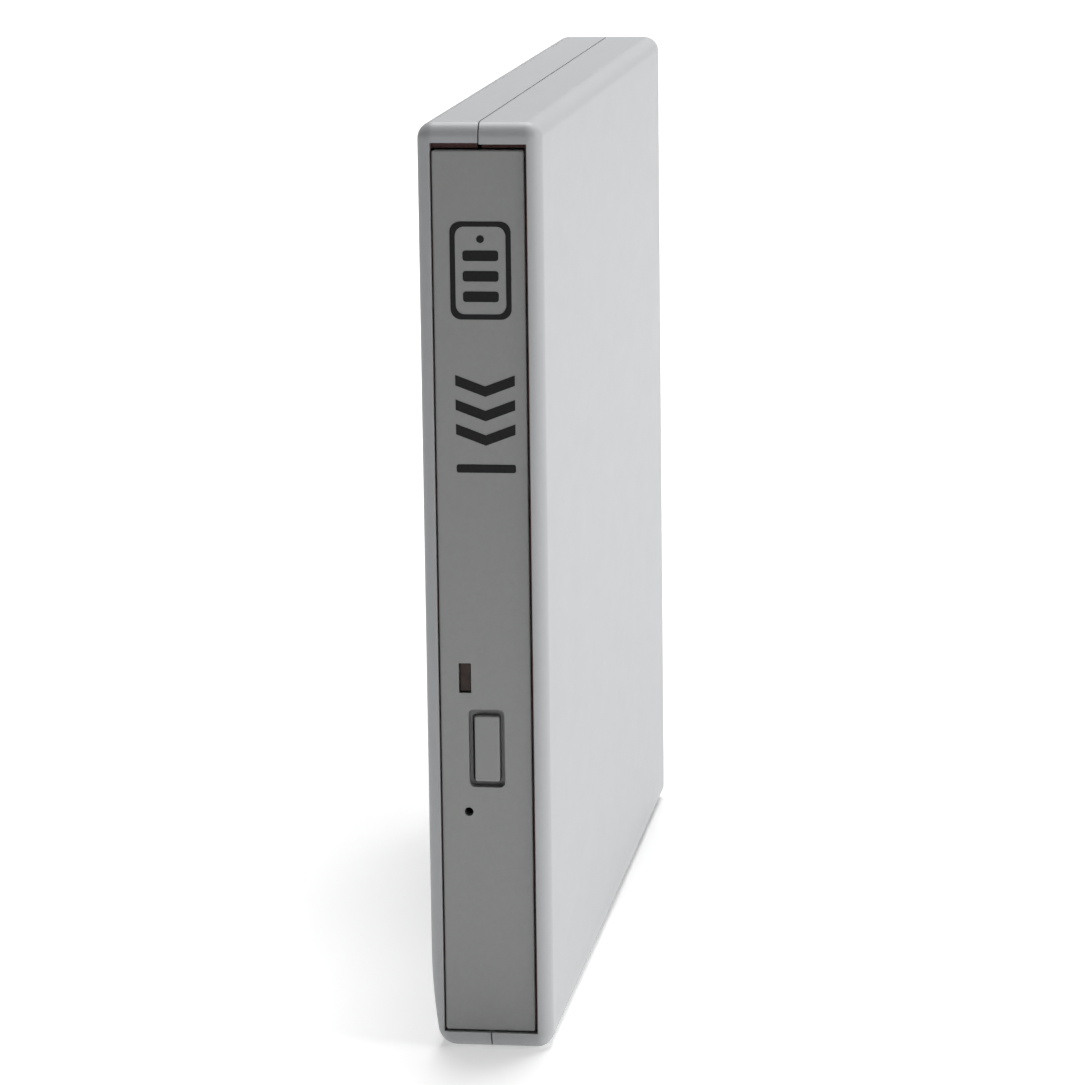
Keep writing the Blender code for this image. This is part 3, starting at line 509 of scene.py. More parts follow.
def cushion(face, front, back, edge, corner, steps=6):
    """A block along Y whose front edges are rounded by edge and whose corners have radius corner."""
    loops = []
    for step in range(steps + 1):
        turn = pi / 2 * step / steps
        shrink = edge * (1 - sin(turn))
        section = rounded(*grown(face, -shrink), max(corner - shrink, 0.05), 6)
        loops.append([(x, front + edge * (1 - cos(turn)), z) for x, z in section])
    loops.append([(x, back, z) for x, z in section])
    return loft(loops)


def channel(x0, x1, back, mouth, flange, web):
    """Section (x, z) of a C-channel that opens from its back towards its mouth."""
    inner = back + web if mouth > back else back - web
    return [(x0, back), (x1, back), (x1, mouth), (x1 - flange, mouth), (x1 - flange, inner),
            (x0 + flange, inner), (x0 + flange, mouth), (x0, mouth)]


def mesh_from(name, solids, place=PLACE):
    """One mesh of closed solids, moved from their own frame to the world."""
    bm = bmesh.new()
    for points, faces in solids:
        corners = [bm.verts.new(point) for point in points]
        for face in faces:
            bm.faces.new([corners[k] for k in face])
    bmesh.ops.recalc_face_normals(bm, faces=bm.faces)
    bmesh.ops.transform(bm, matrix=place, verts=bm.verts)
    mesh = bpy.data.meshes.new(name)
    bm.to_mesh(mesh)
    bm.free()
    return mesh


def make(name, solids, finish, body, node=None, place=PLACE):
    """A new piece of closed solids that rides on a body and may stand for a CAD node."""
    obj = bpy.data.objects.new(name, mesh_from(name, solids, place))
    bpy.context.scene.collection.objects.link(obj)
    if isinstance(finish, str):
        obj.data.materials.append(FINISHES[finish])
    else:
        obj.data.materials.append(finish)
    if node:
        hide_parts(node)
    if body:
        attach(obj, body)
    return obj


def apply_all(obj):
    """Bake the modifiers into the mesh."""
    graph = bpy.context.evaluated_depsgraph_get()
    baked = bpy.data.meshes.new_from_object(obj.evaluated_get(graph))
    obj.modifiers.clear()
    old = obj.data
    obj.data = baked
    bpy.data.meshes.remove(old)


def combine(obj, operation, solids, place):
    """Apply one Boolean of solids that stand apart."""
    tool = bpy.data.objects.new("tool", mesh_from("tool", solids, place))
    bpy.context.scene.collection.objects.link(tool)
    modifier = obj.modifiers.new("tool", "BOOLEAN")
    modifier.operation = operation
    modifier.solver = "EXACT"
    modifier.object = tool
    apply_all(obj)
    bpy.data.objects.remove(tool)


def cut(obj, *solids, place=PLACE):
    """Take solids away from a piece."""
    combine(obj, "DIFFERENCE", solids, place)


def weld(obj, *solids, place=PLACE):
    """Add solids to a piece."""
    combine(obj, "UNION", solids, place)


def smooth(obj, angle=35.0):
    """Smooth shading that keeps flat faces flat."""
    obj.data.shade_smooth()
    obj.data.set_sharp_from_angle(angle=radians(angle))
    modifier = obj.modifiers.new("normals", "WEIGHTED_NORMAL")
    modifier.keep_sharp = True
    modifier.weight = 90
    apply_all(obj)


def soften(obj, width, segments=3, angle=40.0):
    """Round the sharp edges by width millimetres, then shade smoothly."""
    modifier = obj.modifiers.new("edges", "BEVEL")
    modifier.width = width * MM
    modifier.segments = segments
    modifier.limit_method = "ANGLE"
    modifier.angle_limit = radians(angle)
    apply_all(obj)
    smooth(obj)


# ---- case ----------------------------------------------------------------------------------


def case_section(shrink):
    """The outline across the case; its side at -X bends inwards towards the edge it stands on."""
    half = HALF - shrink
    radius = max(EDGE_RADIUS - shrink, 0.2)
    section = rounded(-half, half, shrink, HEIGHT - shrink, radius, CORNER_STEPS)
    start = len(section) - CORNER_STEPS - 1
    side = [(-half, BELLY_TOP * (1 - k / BELLY_STEPS)) for k in range(BELLY_STEPS - 4)]
    bent = []
    for x, z in section[:start] + side + section[start:]:
        if x < 0 and z < BELLY_TOP:
            x += BELLY_DEPTH * (1 - z / BELLY_TOP) ** 2
        bent.append((x, z))
    return bent


def case_block():
    """The outer form: round long edges, a fillet round the front and a small one at the back."""
    loops = []
    for fillet, end, way, steps in ((FRONT_FILLET, FRONT, 1, CORNER_STEPS), (BACK_FILLET, BACK, -1, 5)):
        rows = []
        for step in range(steps + 1):
            turn = pi / 2 * step / steps
            shrink = fillet * (1 - sin(turn))
            level = end + way * fillet * (1 - cos(turn))
            rows.append([(x, level, z) for x, z in case_section(shrink)])
        loops += rows if way > 0 else rows[::-1]
    return loft(loops)


def socket_cuts():
    """The two openings in the back wall."""
    usb = prism("Y", rounded(*grown(USB_SHELL, 0.5), 0.8), BACK - 3.0, BACK + 1.0)
    return usb, rod("Y", *POWER_AXIS, 3.5, BACK - 3.0, BACK + 1.0)


def make_upper_case():
    """The half at +X, with a rebate round its open side and two screw posts."""
    low, high = CAVITY
    half = make("upper_case_skin", [case_block()], "case_plastic", "case", "upper_case")
    cut(half, box((-50, -200, -50), (SEAM_HALF, 200, 200)))
    cut(half, box((-20, low[1], low[2]), high))
    cut(half, box((-20, MOUTH[0][1], MOUTH[0][2]), (MOUTH[1][0], MOUTH[1][1], UPPER_MOUTH_TOP)))
    cut(half, box((-20, low[1] - 0.4, low[2] - 1.1), (TONGUE + 0.3, high[1] + 1.1, high[2] + 1.1)))
    weld(half, *[rod("X", y, z, POST_RADIUS, 1.0, 7.5) for y, z in CASE_SCREWS.values()])
    cut(half, *[rod("X", y, z, POST_BORE, 0.0, 6.0) for y, z in CASE_SCREWS.values()])
    cut(half, *socket_cuts())
    soften(half, EDGE_SOFTNESS, 3, 38.0)


def make_lower_case():
    """The half at -X, with a tongue in the rebate, screw bores and seats for the feet."""
    low, high = CAVITY
    half = make("lower_case_skin", [case_block()], "case_plastic", "case", "lower_case")
    cut(half, box((-SEAM_HALF, -200, -50), (50, 200, 200)))
    weld(half, box((-5.0, low[1] - 0.1, low[2] - 0.8), (TONGUE, high[1] + 0.8, high[2] + 0.8)))
    cut(half, box(low, (20, high[1], high[2])))
    cut(half, box(MOUTH[0], (20, MOUTH[1][1], MOUTH[1][2])))
    weld(half, *[rod("X", y, z, SLEEVE_RADIUS, -7.5, 0.6) for y, z in CASE_SCREWS.values()])
    weld(half, *[rod("X", y, z, STANDOFF_RADIUS, -7.5, -3.3) for y, z in BOARD_SCREWS.values()])
    cut(half, *[rod("X", y, z, HEAD_BORE, -12.0, -4.0) for y, z in CASE_SCREWS.values()])
    cut(half, *[rod("X", y, z, SHANK_BORE, -5.0, 2.0) for y, z in CASE_SCREWS.values()])
    cut(half, *[rod("X", y, z, STANDOFF_BORE, -6.4, -2.0) for y, z in BOARD_SCREWS.values()])
    cut(half, *[rod("X", y, z, FOOT_RADIUS + 0.3, -12.0, -8.4, 64) for y, z in FOOT_SPOTS.values()])
    cut(half, *socket_cuts())
    soften(half, EDGE_SOFTNESS, 3, 38.0)


def make_feet():
    """Round rubber pads with a soft rim."""
    for name, (y, z) in FOOT_SPOTS.items():
        steps = [(1.6, -9.32), (FOOT_RADIUS - 0.75, -9.4), (FOOT_RADIUS - 0.45, -9.36)]
        steps += [(FOOT_RADIUS - 0.18, -9.25), (FOOT_RADIUS - 0.03, -9.05), (FOOT_RADIUS, -8.8)]
        foot = make(name + "_pad", [stepped("X", y, z, steps + [(FOOT_RADIUS, -8.5)])], "rubber",
                    "case", name)
        smooth(foot, 50.0)


def cross_screw(name, node, body, y, z, head, steps, reach=1.1, place=PLACE, finish="bright_steel"):
    """A screw along X whose head, at level head, has a cross recess cut towards +X."""
    screw = make(name, [stepped("X", y, z, steps, 40)], finish, body, node, place)
    arm = 0.27
    low, high = sorted((head - 1.0, head + 0.7))
    cut(screw, box((low, y - reach, z - arm), (high, y + reach, z + arm)), place=place)
    cut(screw, box((low, y - arm, z - reach), (high, y + arm, z + reach)), place=place)
    soften(screw, 0.05, 2, 50.0)


def make_case_screws():
    """The two screws that hold the halves together."""
    for name, (y, z) in CASE_SCREWS.items():
        steps = [(1.5, -5.7), (1.8, -5.6), (2.05, -5.3), (2.1, -5.0), (2.1, -4.2), (0.8, -4.2)]
        cross_screw(name + "_metal", name, "case", y, z, -5.7, steps + [(0.8, 5.2), (0.4, 5.6)])


def make_sockets():
    """The data socket with its springs and contacts, and the power jack with its pin."""
    shell = make("usb_shell_metal", [prism("Y", rounded(*USB_SHELL, 0.6), 66.0, 74.6)],
                 "bright_steel", "case", "usb_socket_shell")
    cut(shell, prism("Y", rounded(*grown(USB_SHELL, -0.35), 0.4), 66.5, 76.0))
    x0, x1, z0, z1 = USB_SHELL
    for z in (z0 + 2.1, z1 - 2.1):
        cut(shell, box((x1 - 1, 70.2, z - 0.55), (x1 + 1, 73.4, z + 0.55)))
        spring = [(x1 - 0.3, 70.0), (x1 - 0.05, 70.0), (x1 - 0.12, 72.0), (x1 - 0.28, 72.8),
                  (x1 - 0.5, 72.4)]
        tongue = prism("Z", spring, z - 0.42, z + 0.42)
        smooth(make(f"usb_spring_{int(z)}", [tongue], "bright_steel", "case"), 50.0)
    soften(shell, 0.07, 2, 45.0)
    block = make("usb_tongue", [box((0.0, 66.8, 97.5), (1.0, 73.4, 102.2))], "jack_plastic", "case",
                 "usb_socket_tongue")
    soften(block, 0.12, 3)
    contacts = [box((-0.05, 67.2, 98.05 + 0.8 * k), (0.12, 72.9, 98.45 + 0.8 * k)) for k in range(5)]
    smooth(make("usb_contacts", contacts, GOLD, "case"))

    x, z = POWER_AXIS
    jack = make("power_jack_shell", [box((-1.7, 60.0, 34.3), (4.9, 72.6, 42.7))], "jack_plastic",
                "case", "power_jack_body")
    weld(jack, rod("Y", x, z, 3.1, 72.0, 74.5, 64))
    cut(jack, rod("Y", x, z, 2.75, 63.0, 76.0, 64))
    soften(jack, 0.15, 3, 45.0)
    steps = [(0.95, 63.3), (0.95, 72.1), (0.88, 72.5), (0.7, 72.8), (0.4, 72.98), (0.15, 73.0)]
    smooth(make("power_pin", [stepped("Y", x, z, steps, 40)], "bright_steel", "case",
                "power_jack_pin"), 50.0)
    leaf = [(x + 2.2, 66.0), (x + 2.5, 66.0), (x + 2.3, 70.0), (x + 2.6, 72.0), (x + 2.3, 72.0),
            (x + 1.9, 70.0)]
    smooth(make("power_leaf", [prism("Z", leaf, z - 0.7, z + 0.7)], "bright_steel", "case"), 50.0)


# ---- front bezel ---------------------------------------------------------------------------


def make_bezel():
    """The front plate, with its button pocket, window and release hole."""
    front, back = BEZEL_Y
    block = cushion(BEZEL_FACE, front, back, 0.22, 0.35, 8)
    bezel = make("front_bezel_skin", [block], "bezel_plastic", "tray", "front_bezel")
    cut(bezel, prism("Y", rounded(*BUTTON_POCKET, 0.8, 8), front - 1, front + POCKET_DEPTH))
    cut(bezel,
        prism("Y", rounded(*BUTTON_HOLE, 0.45), front - 1, back + 1),
        prism("Y", rounded(*grown(LED_FACE, 0.1), 0.15), front - 1, back + 1),
        rod("Y", *RELEASE_HOLE, RELEASE_RADIUS, front - 1, back + 1))
    soften(bezel, 0.07, 3, 50.0)


def make_gap_shade():
    """Dark red-brown strips inside the mouth, behind the gaps round the bezel: a dark sheet that paints
    the shade seen in the gaps.
    """
    depth = (FRONT + 1.5, FRONT + 2.1)
    top = BEZEL_FACE[3] + 0.25
    # painted shade: dark strips behind the gaps at the top and at both sides of the bezel
    strips = [box((-6.9, depth[0], top), (-0.3, depth[1], MOUTH[1][2] + 0.1))]
    strips.append(box((0.3, depth[0], top), (6.9, depth[1], UPPER_MOUTH_TOP + 0.1)))
    strips.append(box((-7.05, FRONT + 1.2, 2.3), (-6.80, FRONT + 1.45, top + 0.5)))
    strips.append(box((6.50, FRONT + 0.85, 2.3), (6.90, FRONT + 1.45, top + 0.3)))
    make("gap_shade_strips", strips, GAP_SHADE, "case")


def make_button():
    """The eject button and the flange behind the bezel that holds it."""
    front, back = BEZEL_Y
    button = make("eject_button_skin", [cushion(BUTTON_FACE, front + 0.05, back + 1.0, 0.2, 0.35, 8)],
                  "button_plastic", "eject_button", "eject_button")
    weld(button, box((-2.35, back + 0.1, 39.0), (2.35, back + 0.9, 50.4)))
    smooth(button)


def make_led():
    """The window over the activity light."""
    block = cushion(LED_FACE, BEZEL_Y[0] + 0.6, BEZEL_Y[1] - 0.1, 0.12, 0.15, 5)
    smooth(make("led_window", [block], "led_lens", "tray", "led_lens"))


def band(outline, width):
    """A closed strip of the given width just inside an outline of (x, z) points about its middle."""
    middle = (sum(x for x, _ in outline) / len(outline), sum(z for _, z in outline) / len(outline))
    extent = [max(abs(p[k] - middle[k]) for p in outline) for k in (0, 1)]
    scale = [1 - width / extent[k] for k in (0, 1)]
    inner = [tuple(middle[k] + (p[k] - middle[k]) * scale[k] for k in (0, 1)) for p in outline]
    y0, y1 = INK_Y
    count = len(outline)
    points = [(x, y, z) for y in (y0, y1) for ring in (outline, inner) for x, z in ring]
    faces = []
    for k in range(count):
        after = (k + 1) % count
        for a, b in ((0, count), (count, 3 * count), (3 * count, 2 * count), (2 * count, 0)):
            faces.append([a + k, a + after, b + after, b + k])
    return points, faces


def film(outline):
    """A printed patch on the bezel's face."""
    return prism("Y", outline, *INK_Y)


def make_prints():
    """Two plain pictograms: a framed set of bars, and arrowheads over a bar."""
    frame_outline = rounded(-4.3, 4.4, 106.8, 120.7, 1.5)
    bars = [film(rounded(-2.5, 2.6, z, z + 1.5, 0.4, 3)) for z in (109.3, 112.2, 115.1)]
    dot = film(circle(0.05, 118.2, 0.55, 24))
    make("print_framed_bars", [band(frame_outline, 0.75)] + bars + [dot], INK, "tray")
    heads = []
    for z in (98.9, 95.4, 91.9):
        arrow = [(-3.8, z), (-3.8, z - 1.5), (0.45, z - 3.1), (4.7, z - 1.5), (4.7, z), (0.45, z - 1.6)]
        heads.append(film(arrow))
    rule = film(rounded(-3.8, 4.7, 84.9, 86.1, 0.3, 3))
    make("print_arrowheads", heads + [rule], INK, "tray")


# ---- tray ------------------------------------------------------------------------------------


def opening(by, corner=4.0):
    """The tray's opening for the traverse unit, made larger by this much."""
    return keyhole(*[size + by for size in OPENING], corner)


def make_tray():
    """The tray with its two disc recesses, and the low ring on which a disc rests."""
    outline = rounded(TRAY_FRONT, TRAY_BACK, MID - PLATE_HALF, MID + PLATE_HALF, 3.0, 10)
    tray = make("tray_moulding", [prism("X", outline, 0.5, TRAY_TOP)], "tray_plastic", "tray", "tray")
    low = (TRAY_FLOOR, TRAY_FRONT + 0.2, MID - BODY_HALF)
    weld(tray, box(low, (1.0, TRAY_BACK - 0.2, MID + BODY_HALF)))
    for way in (-1, 1):
        z0, z1 = sorted(MID + way * half for half in WING_HALF)
        weld(tray, box((WING_X[0], -68.0, z0), (WING_X[1], 48.0, z1)))
    cut(tray, box((-9, low[1] + TRAY_WALL, low[2] + TRAY_WALL),
                  (0.2, TRAY_BACK - TRAY_WALL, MID + BODY_HALF - TRAY_WALL)))
    y, z = DISC_CENTRE
    cut(tray, stepped("X", y, z, [(DISC_RADIUS - 0.6, DISC_FLOOR), (DISC_RADIUS, DISC_FLOOR + 0.5),
                                  (DISC_RADIUS, 9.0)], 200))
    cut(tray, stepped("X", y, z, [(SMALL_DISC_RADIUS - 0.4, SMALL_DISC_FLOOR),
                                  (SMALL_DISC_RADIUS, DISC_FLOOR - 0.1), (SMALL_DISC_RADIUS, 3.0)], 160))
    cut(tray, prism("X", opening(0.0), -2.0, 3.0), place=TRAVERSE)
    weld(tray, box((TRAY_FLOOR, 31.9, 12.5), (0.4, 33.2, 23.5)))
    cut(tray, box((-9, 45.0, 14.5), (0.1, 56.0, 21.5)), box((-9, 45.0, 27.8), (-0.6, 56.0, 32.2)))
    cut(tray, prism("Y", rounded(-2.6, 2.6, 38.6, 50.8, 0.5), -73.0, -68.9))
    cut(tray, rod("Y", *RELEASE_HOLE, RELEASE_RADIUS + 0.15, -73.0, -68.0))
    cut(tray, rod("X", *THUMB_NOTCH, 2.9, 9.0, 96))
    under, over = DISC_FLOOR - 0.2, DISC_FLOOR + 0.12
    ring = [(55.0, under), (55.0, over), (55.7, over), (55.7, under)]
    ribs = make("tray_rest_ring", [turned("X", y, z, ring, 200)], "tray_plastic", "tray")
    cut(ribs, prism("X", opening(0.4), -3.0, 5.0), place=TRAVERSE)
    cut(ribs, rod("X", *THUMB_NOTCH, 0.0, 9.0, 96))
    smooth(ribs)
    soften(tray, 0.15, 2, 42.0)


def make_deck():
    """The cover round the spindle and the pickup opening, with its screws."""
    plate = make("deck_cover", [prism("X", opening(-0.3, 3.7), 0.6, 1.1)], "black_steel", "tray",
                 "deck_plate", TRAVERSE)
    cut(plate, rod("X", 0.0, 0.0, ROTOR_RADIUS + 0.8, -1.0, 3.0, 96), place=TRAVERSE)
    cut(plate, prism("X", rounded(8.0, 63.0, -8.8, 8.8, 2.0), -1.0, 3.0), place=TRAVERSE)
    ribs = [box((0.9, 16.0, z), (1.35, 60.0, z + 0.9)) for z in (10.0, -10.9)]
    weld(plate, *ribs, place=TRAVERSE)
    soften(plate, 0.09, 2, 42.0)
    for k, (y, z) in enumerate(((62.8, 11.0), (62.8, -11.0), (-14.5, 0.0))):
        steps = [(0.5, 1.0), (1.15, 1.0), (1.15, 1.3), (0.95, 1.5), (0.4, 1.56)]
        smooth(make(f"deck_screw_{k + 1}", [stepped("X", y, z, steps, 32)], "bright_steel", "tray",
                    None, TRAVERSE), 50.0)


def make_spindle():
    """The motor cup, the rubber ring, and the hub with its claws."""
    steps = [(1.2, -3.7), (1.6, -3.4), (1.6, -2.3), (ROTOR_RADIUS - 0.4, -2.3), (ROTOR_RADIUS, -1.9)]
    steps += [(ROTOR_RADIUS, 1.4), (ROTOR_RADIUS - 0.09, 1.75), (ROTOR_RADIUS - 0.3, 1.95), (11.4, 2.0)]
    smooth(make("spindle_cup", [stepped("X", 0, 0, steps, 96)], "bright_steel", "spindle",
                "spindle_rotor", TRAVERSE), 50.0)
    ring = [(9.0, 2.2), (11.6, 2.2), (11.6, 2.85), (11.45, 3.0), (9.15, 3.0), (9.0, 2.85)]
    smooth(make("turntable_pad", [turned("X", 0, 0, ring, 96)], "rubber", "spindle",
                "turntable_ring", TRAVERSE), 50.0)
    steps = [(8.4, 2.2), (8.4, 2.8), (HUB_RADIUS, 2.8), (HUB_RADIUS, 4.0), (7.2, 4.35), (6.7, 4.75)]
    steps += [(6.1, 4.9), (3.4, 4.9), (3.1, 4.75), (3.0, 4.5), (0.9, 4.5), (0.8, 4.3)]
    hub = make("clamp_hub_moulding", [stepped("X", 0, 0, steps, 96)], "tray_plastic", "spindle",
               "clamp_hub", TRAVERSE)
    claw_side = [(3.6, 4.9), (3.6, 8.0), (3.9, 8.0), (4.25, 7.75), (4.6, 7.0), (4.6, 4.9)]
    for k in range(3):
        facing = TRAVERSE @ Matrix.Rotation(tau * k / 3, 4, "X")
        cut(hub, box((3.2, 3.6, -1.6), (6.0, 9.0, 1.6)), place=facing)
        claw = make(f"claw_{k + 1}_moulding", [prism("Z", claw_side, -1.3, 1.3)], "connector_plastic",
                    f"claw_{k + 1}", f"clamp_claw_{k + 1}", facing)
        soften(claw, 0.14, 3)
    smooth(hub)


def make_pickup():
    """The sled with the yoke, magnets, coils and lens of the actuator."""
    y = LENS_RADIUS_IN
    sled = make("pickup_casting", [box((-3.8, y - 7.0, -13.5), (0.1, y + 6.0, 14.0))], "steel_sheet",
                "sled", "pickup_sled", TRAVERSE)
    weld(sled, box((-3.8, y - 7.0, 13.0), (-0.9, y - 3.6, 19.6)), place=TRAVERSE)
    cut(sled, rod("Y", ROD_LEVEL, MAIN_ROD_Z, 1.6, y - 9, y + 9),
        rod("Y", ROD_LEVEL, SCREW_Z, 1.35, y - 9, y + 9),
        box((-3.5, y - 9, -15.0), (-1.3, y + 9, -10.1)), place=TRAVERSE)
    cut(sled, box((-2.6, y - 5.7, -8.0), (2.0, y + 5.0, 8.0)), place=TRAVERSE)
    soften(sled, 0.15, 2)
    yoke = make("actuator_yoke", [box((-2.3, y - 5.4, -7.7), (0.9, y + 4.7, 7.7))], "black_steel",
                "sled", "lens_actuator", TRAVERSE)
    cut(yoke, box((-1.7, y - 3.9, -5.4), (3.0, y + 3.9, 5.4)), place=TRAVERSE)
    soften(yoke, 0.12, 2)
    magnets = [box((-1.6, y + side - 0.35, -3.0), (0.5, y + side + 0.35, 3.0)) for side in (-3.5, 3.5)]
    soften(make("actuator_magnets", magnets, "bright_steel", "sled", None, TRAVERSE), 0.08, 2)
    wires = [rod("Z", x, y + side, 0.05, side_z, side_z + 2.2, 8)
             for x in (-0.9, 0.1) for side in (-2.3, 2.3) for side_z in (-5.4, 3.2)]
    make("lens_suspension", wires, "brass", "sled", None, TRAVERSE)
    holder = make("lens_holder", [prism("X", rounded(y - 2.75, y + 2.75, -3.1, 3.1, 0.9), -0.95, 0.62)],
                  "chip", "lens", None, TRAVERSE)
    soften(holder, 0.12, 2)
    coils = [box((-0.75, y + side - 0.16, -2.2), (0.35, y + side + 0.16, 2.2)) for side in (-2.88, 2.88)]
    soften(make("focus_coils", coils, COPPER, "lens", None, TRAVERSE), 0.07, 2)
    steps = [(2.6, -0.8), (2.6, 0.85), (2.5, 1.0), (2.3, 1.1), (1.9, 1.1), (1.8, 1.22), (1.5, 1.38)]
    steps += [(1.1, 1.49), (0.7, 1.54), (0.3, 1.55)]
    smooth(make("lens_bead", [stepped("X", y, 0.0, steps, 48)], "lens_glass", "lens",
                "objective_lens", TRAVERSE), 60.0)


def make_rails():
    """The telescoping rails, with a row of holes."""
    for side, way in (("right", -1), ("left", 1)):
        back, mouth = (MID + way * half for half in RAIL_HALF)
        section = channel(*RAIL_X, back, mouth, 0.6, 0.6)
        rail = make(f"rail_{side}_steel", [prism("Y", section, *RAIL_Y)], "bright_steel",
                    f"rail_{side}", f"rail_{side}")
        z = sorted((MID + way * 59.5, MID + way * 61.0))
        holes = (-58.0, -30.0, 0.0, 30.0, 44.0)
        cut(rail, *[rod("Z", sum(RAIL_X) / 2, y, 0.55, z[0], z[1], 24) for y in holes])
        soften(rail, 0.08, 2)


def make_shield():
    """The steel sheet under the tray, with shallow pressed panels and screws."""
    outline = rounded(-70.0, 44.0, MID - 56.8, MID + 56.8, 3.0, 8)
    shield = make("tray_underside", [prism("X", outline, -5.4, -5.0)], "steel_sheet", "tray",
                  "tray_shield")
    cut(shield, box((-6, -59.0, 28.0), (-4, 50.0, 32.0)))
    cut(shield, box((-6, -31.0, 31.5), (-4, 51.0, 48.0)))
    cut(shield, box((-6, 30.0, 14.0), (-4, 50.0, 22.0)))
    panels = ((-62.0, -38.0, 55.0, 108.0), (-24.0, 10.0, 56.0, 112.0), (18.0, 38.0, 56.0, 112.0))
    cut(shield, *[prism("X", rounded(*panel, 3.0, 6), -5.55, -5.3) for panel in panels])
    soften(shield, 0.06, 2, 42.0)
    for k, (y, z) in enumerate(((-65.5, 15.0), (-65.5, 118.0), (39.5, 118.0), (39.5, 52.0))):
        steps = [(0.4, -5.62), (0.9, -5.6), (1.2, -5.5), (1.25, -5.4), (0.6, -5.39), (0.6, -5.1)]
        cross_screw(f"shield_screw_{k + 1}", None, "tray", y, z, -5.9, steps, 0.7)


# ---- the folded cable and the coil spring ----------------------------------------------------


def make_flex():
    """The folded flat cable, thick enough to show, with a fine curve at its fold."""
    low, high = FLEX_X
    z0, z1 = FLEX_Z
    radius = (high - low) / 2
    centre = (high + low) / 2
    half = FLEX_FILM / 2
    path = [(low, 52.8 - (52.8 - FLEX_FOLD) * k / 30) for k in range(31)]
    for step in range(1, 24):
        turn = pi * step / 24
        path.append((centre - radius * cos(turn), FLEX_FOLD - radius * sin(turn)))
    path += [(high, FLEX_FOLD + (40.0 - FLEX_FOLD) * k / 26) for k in range(27)]
    loops = []
    for k, (x, y) in enumerate(path):
        ahead = path[min(k + 1, len(path) - 1)]
        behind = path[max(k - 1, 0)]
        run = Vector((ahead[0] - behind[0], ahead[1] - behind[1])).normalized()
        dx, dy = run.y * half, -run.x * half
        outer, inner = (x + dx, y + dy), (x - dx, y - dy)
        loops.append([(*outer, z0), (*outer, z1), (*inner, z1), (*inner, z0)])
    cable = make("flat_cable", [loft(loops)], "flex_film", None, "flex_cable")
    smooth(cable, 50.0)
    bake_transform(cable)


def make_spring():
    """The ejector's coil spring."""
    a, b = EJECTOR_AXIS
    radius, wire = 1.9, 0.18
    low, high = 35.5, 53.0
    turns = 7
    loops = []
    steps = turns * 32
    for k in range(steps + 1):
        turn = tau * turns * k / steps
        level = low + wire + (high - low - 2 * wire) * k / steps
        loop = []
        for side in range(10):
            swing = tau * side / 10
            reach = radius + wire * cos(swing)
            loop.append((a + reach * cos(turn), level + wire * sin(swing), b + reach * sin(turn)))
        loops.append(loop)
    spring = make("ejector_coil", [loft(loops)], "bright_steel", None, "ejector_spring")
    smooth(spring, 60.0)
    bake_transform(spring)


# ---- CAD nodes keep their mesh and get the detailed finishes ----------------------------------


def dress_nodes():
    """Give every node that keeps its own mesh the detailed finish of its slot."""
    slots = {row["node"]: row["material_slot"] for row in frame["record"]["subparts"]}
    for name, obj in frame["nodes"].items():
        obj.data.materials.clear()
        obj.data.materials.append(FINISHES[slots[name]])
        for face in obj.data.polygons:
            face.material_index = 0


# ---- stage, lights and camera --------------------------------------------------------------


FLOOR_HALF = 6000.0
FLOOR_GLOW = 0.06
BEHIND_Y = (0.1, 1.2)
BEHIND_GLOW = 0.9
# Painted light: a glowing patch of floor at the drive's front left that lifts the drive's shadow there
SHADOW_FILL_SPOT = (-0.06, -0.13, 0.0)
SHADOW_FILL_REACH = 0.2
SHADOW_FILL_GLOW = 0.45
RIM_REACH = (0.35, 1.6)
RIM_GLOW = 0.5
WORLD_TOWARD = (0.35, 0.45, 0.82)
WORLD_FROM = -0.2
WORLD_LOW = 0.02
WORLD_HIGH = 0.2
SIDE_POWER = 9.7
SIDE_PLACE = (1.3, -0.2, 0.45)
SIDE_SIZE = 0.7
TOP_POWER = 17.5
TOP_PLACE = (0.05, 0.42, 1.25)
TOP_SIZE = 0.7
LENS = 147.9
CAMERA_PLACE = (SEAM + 0.0934, FRONT * MM - 0.6147, 0.1954)
CAMERA_YAW = 7.873
CAMERA_PITCH = 10.977
CAMERA_ROLL = -0.735


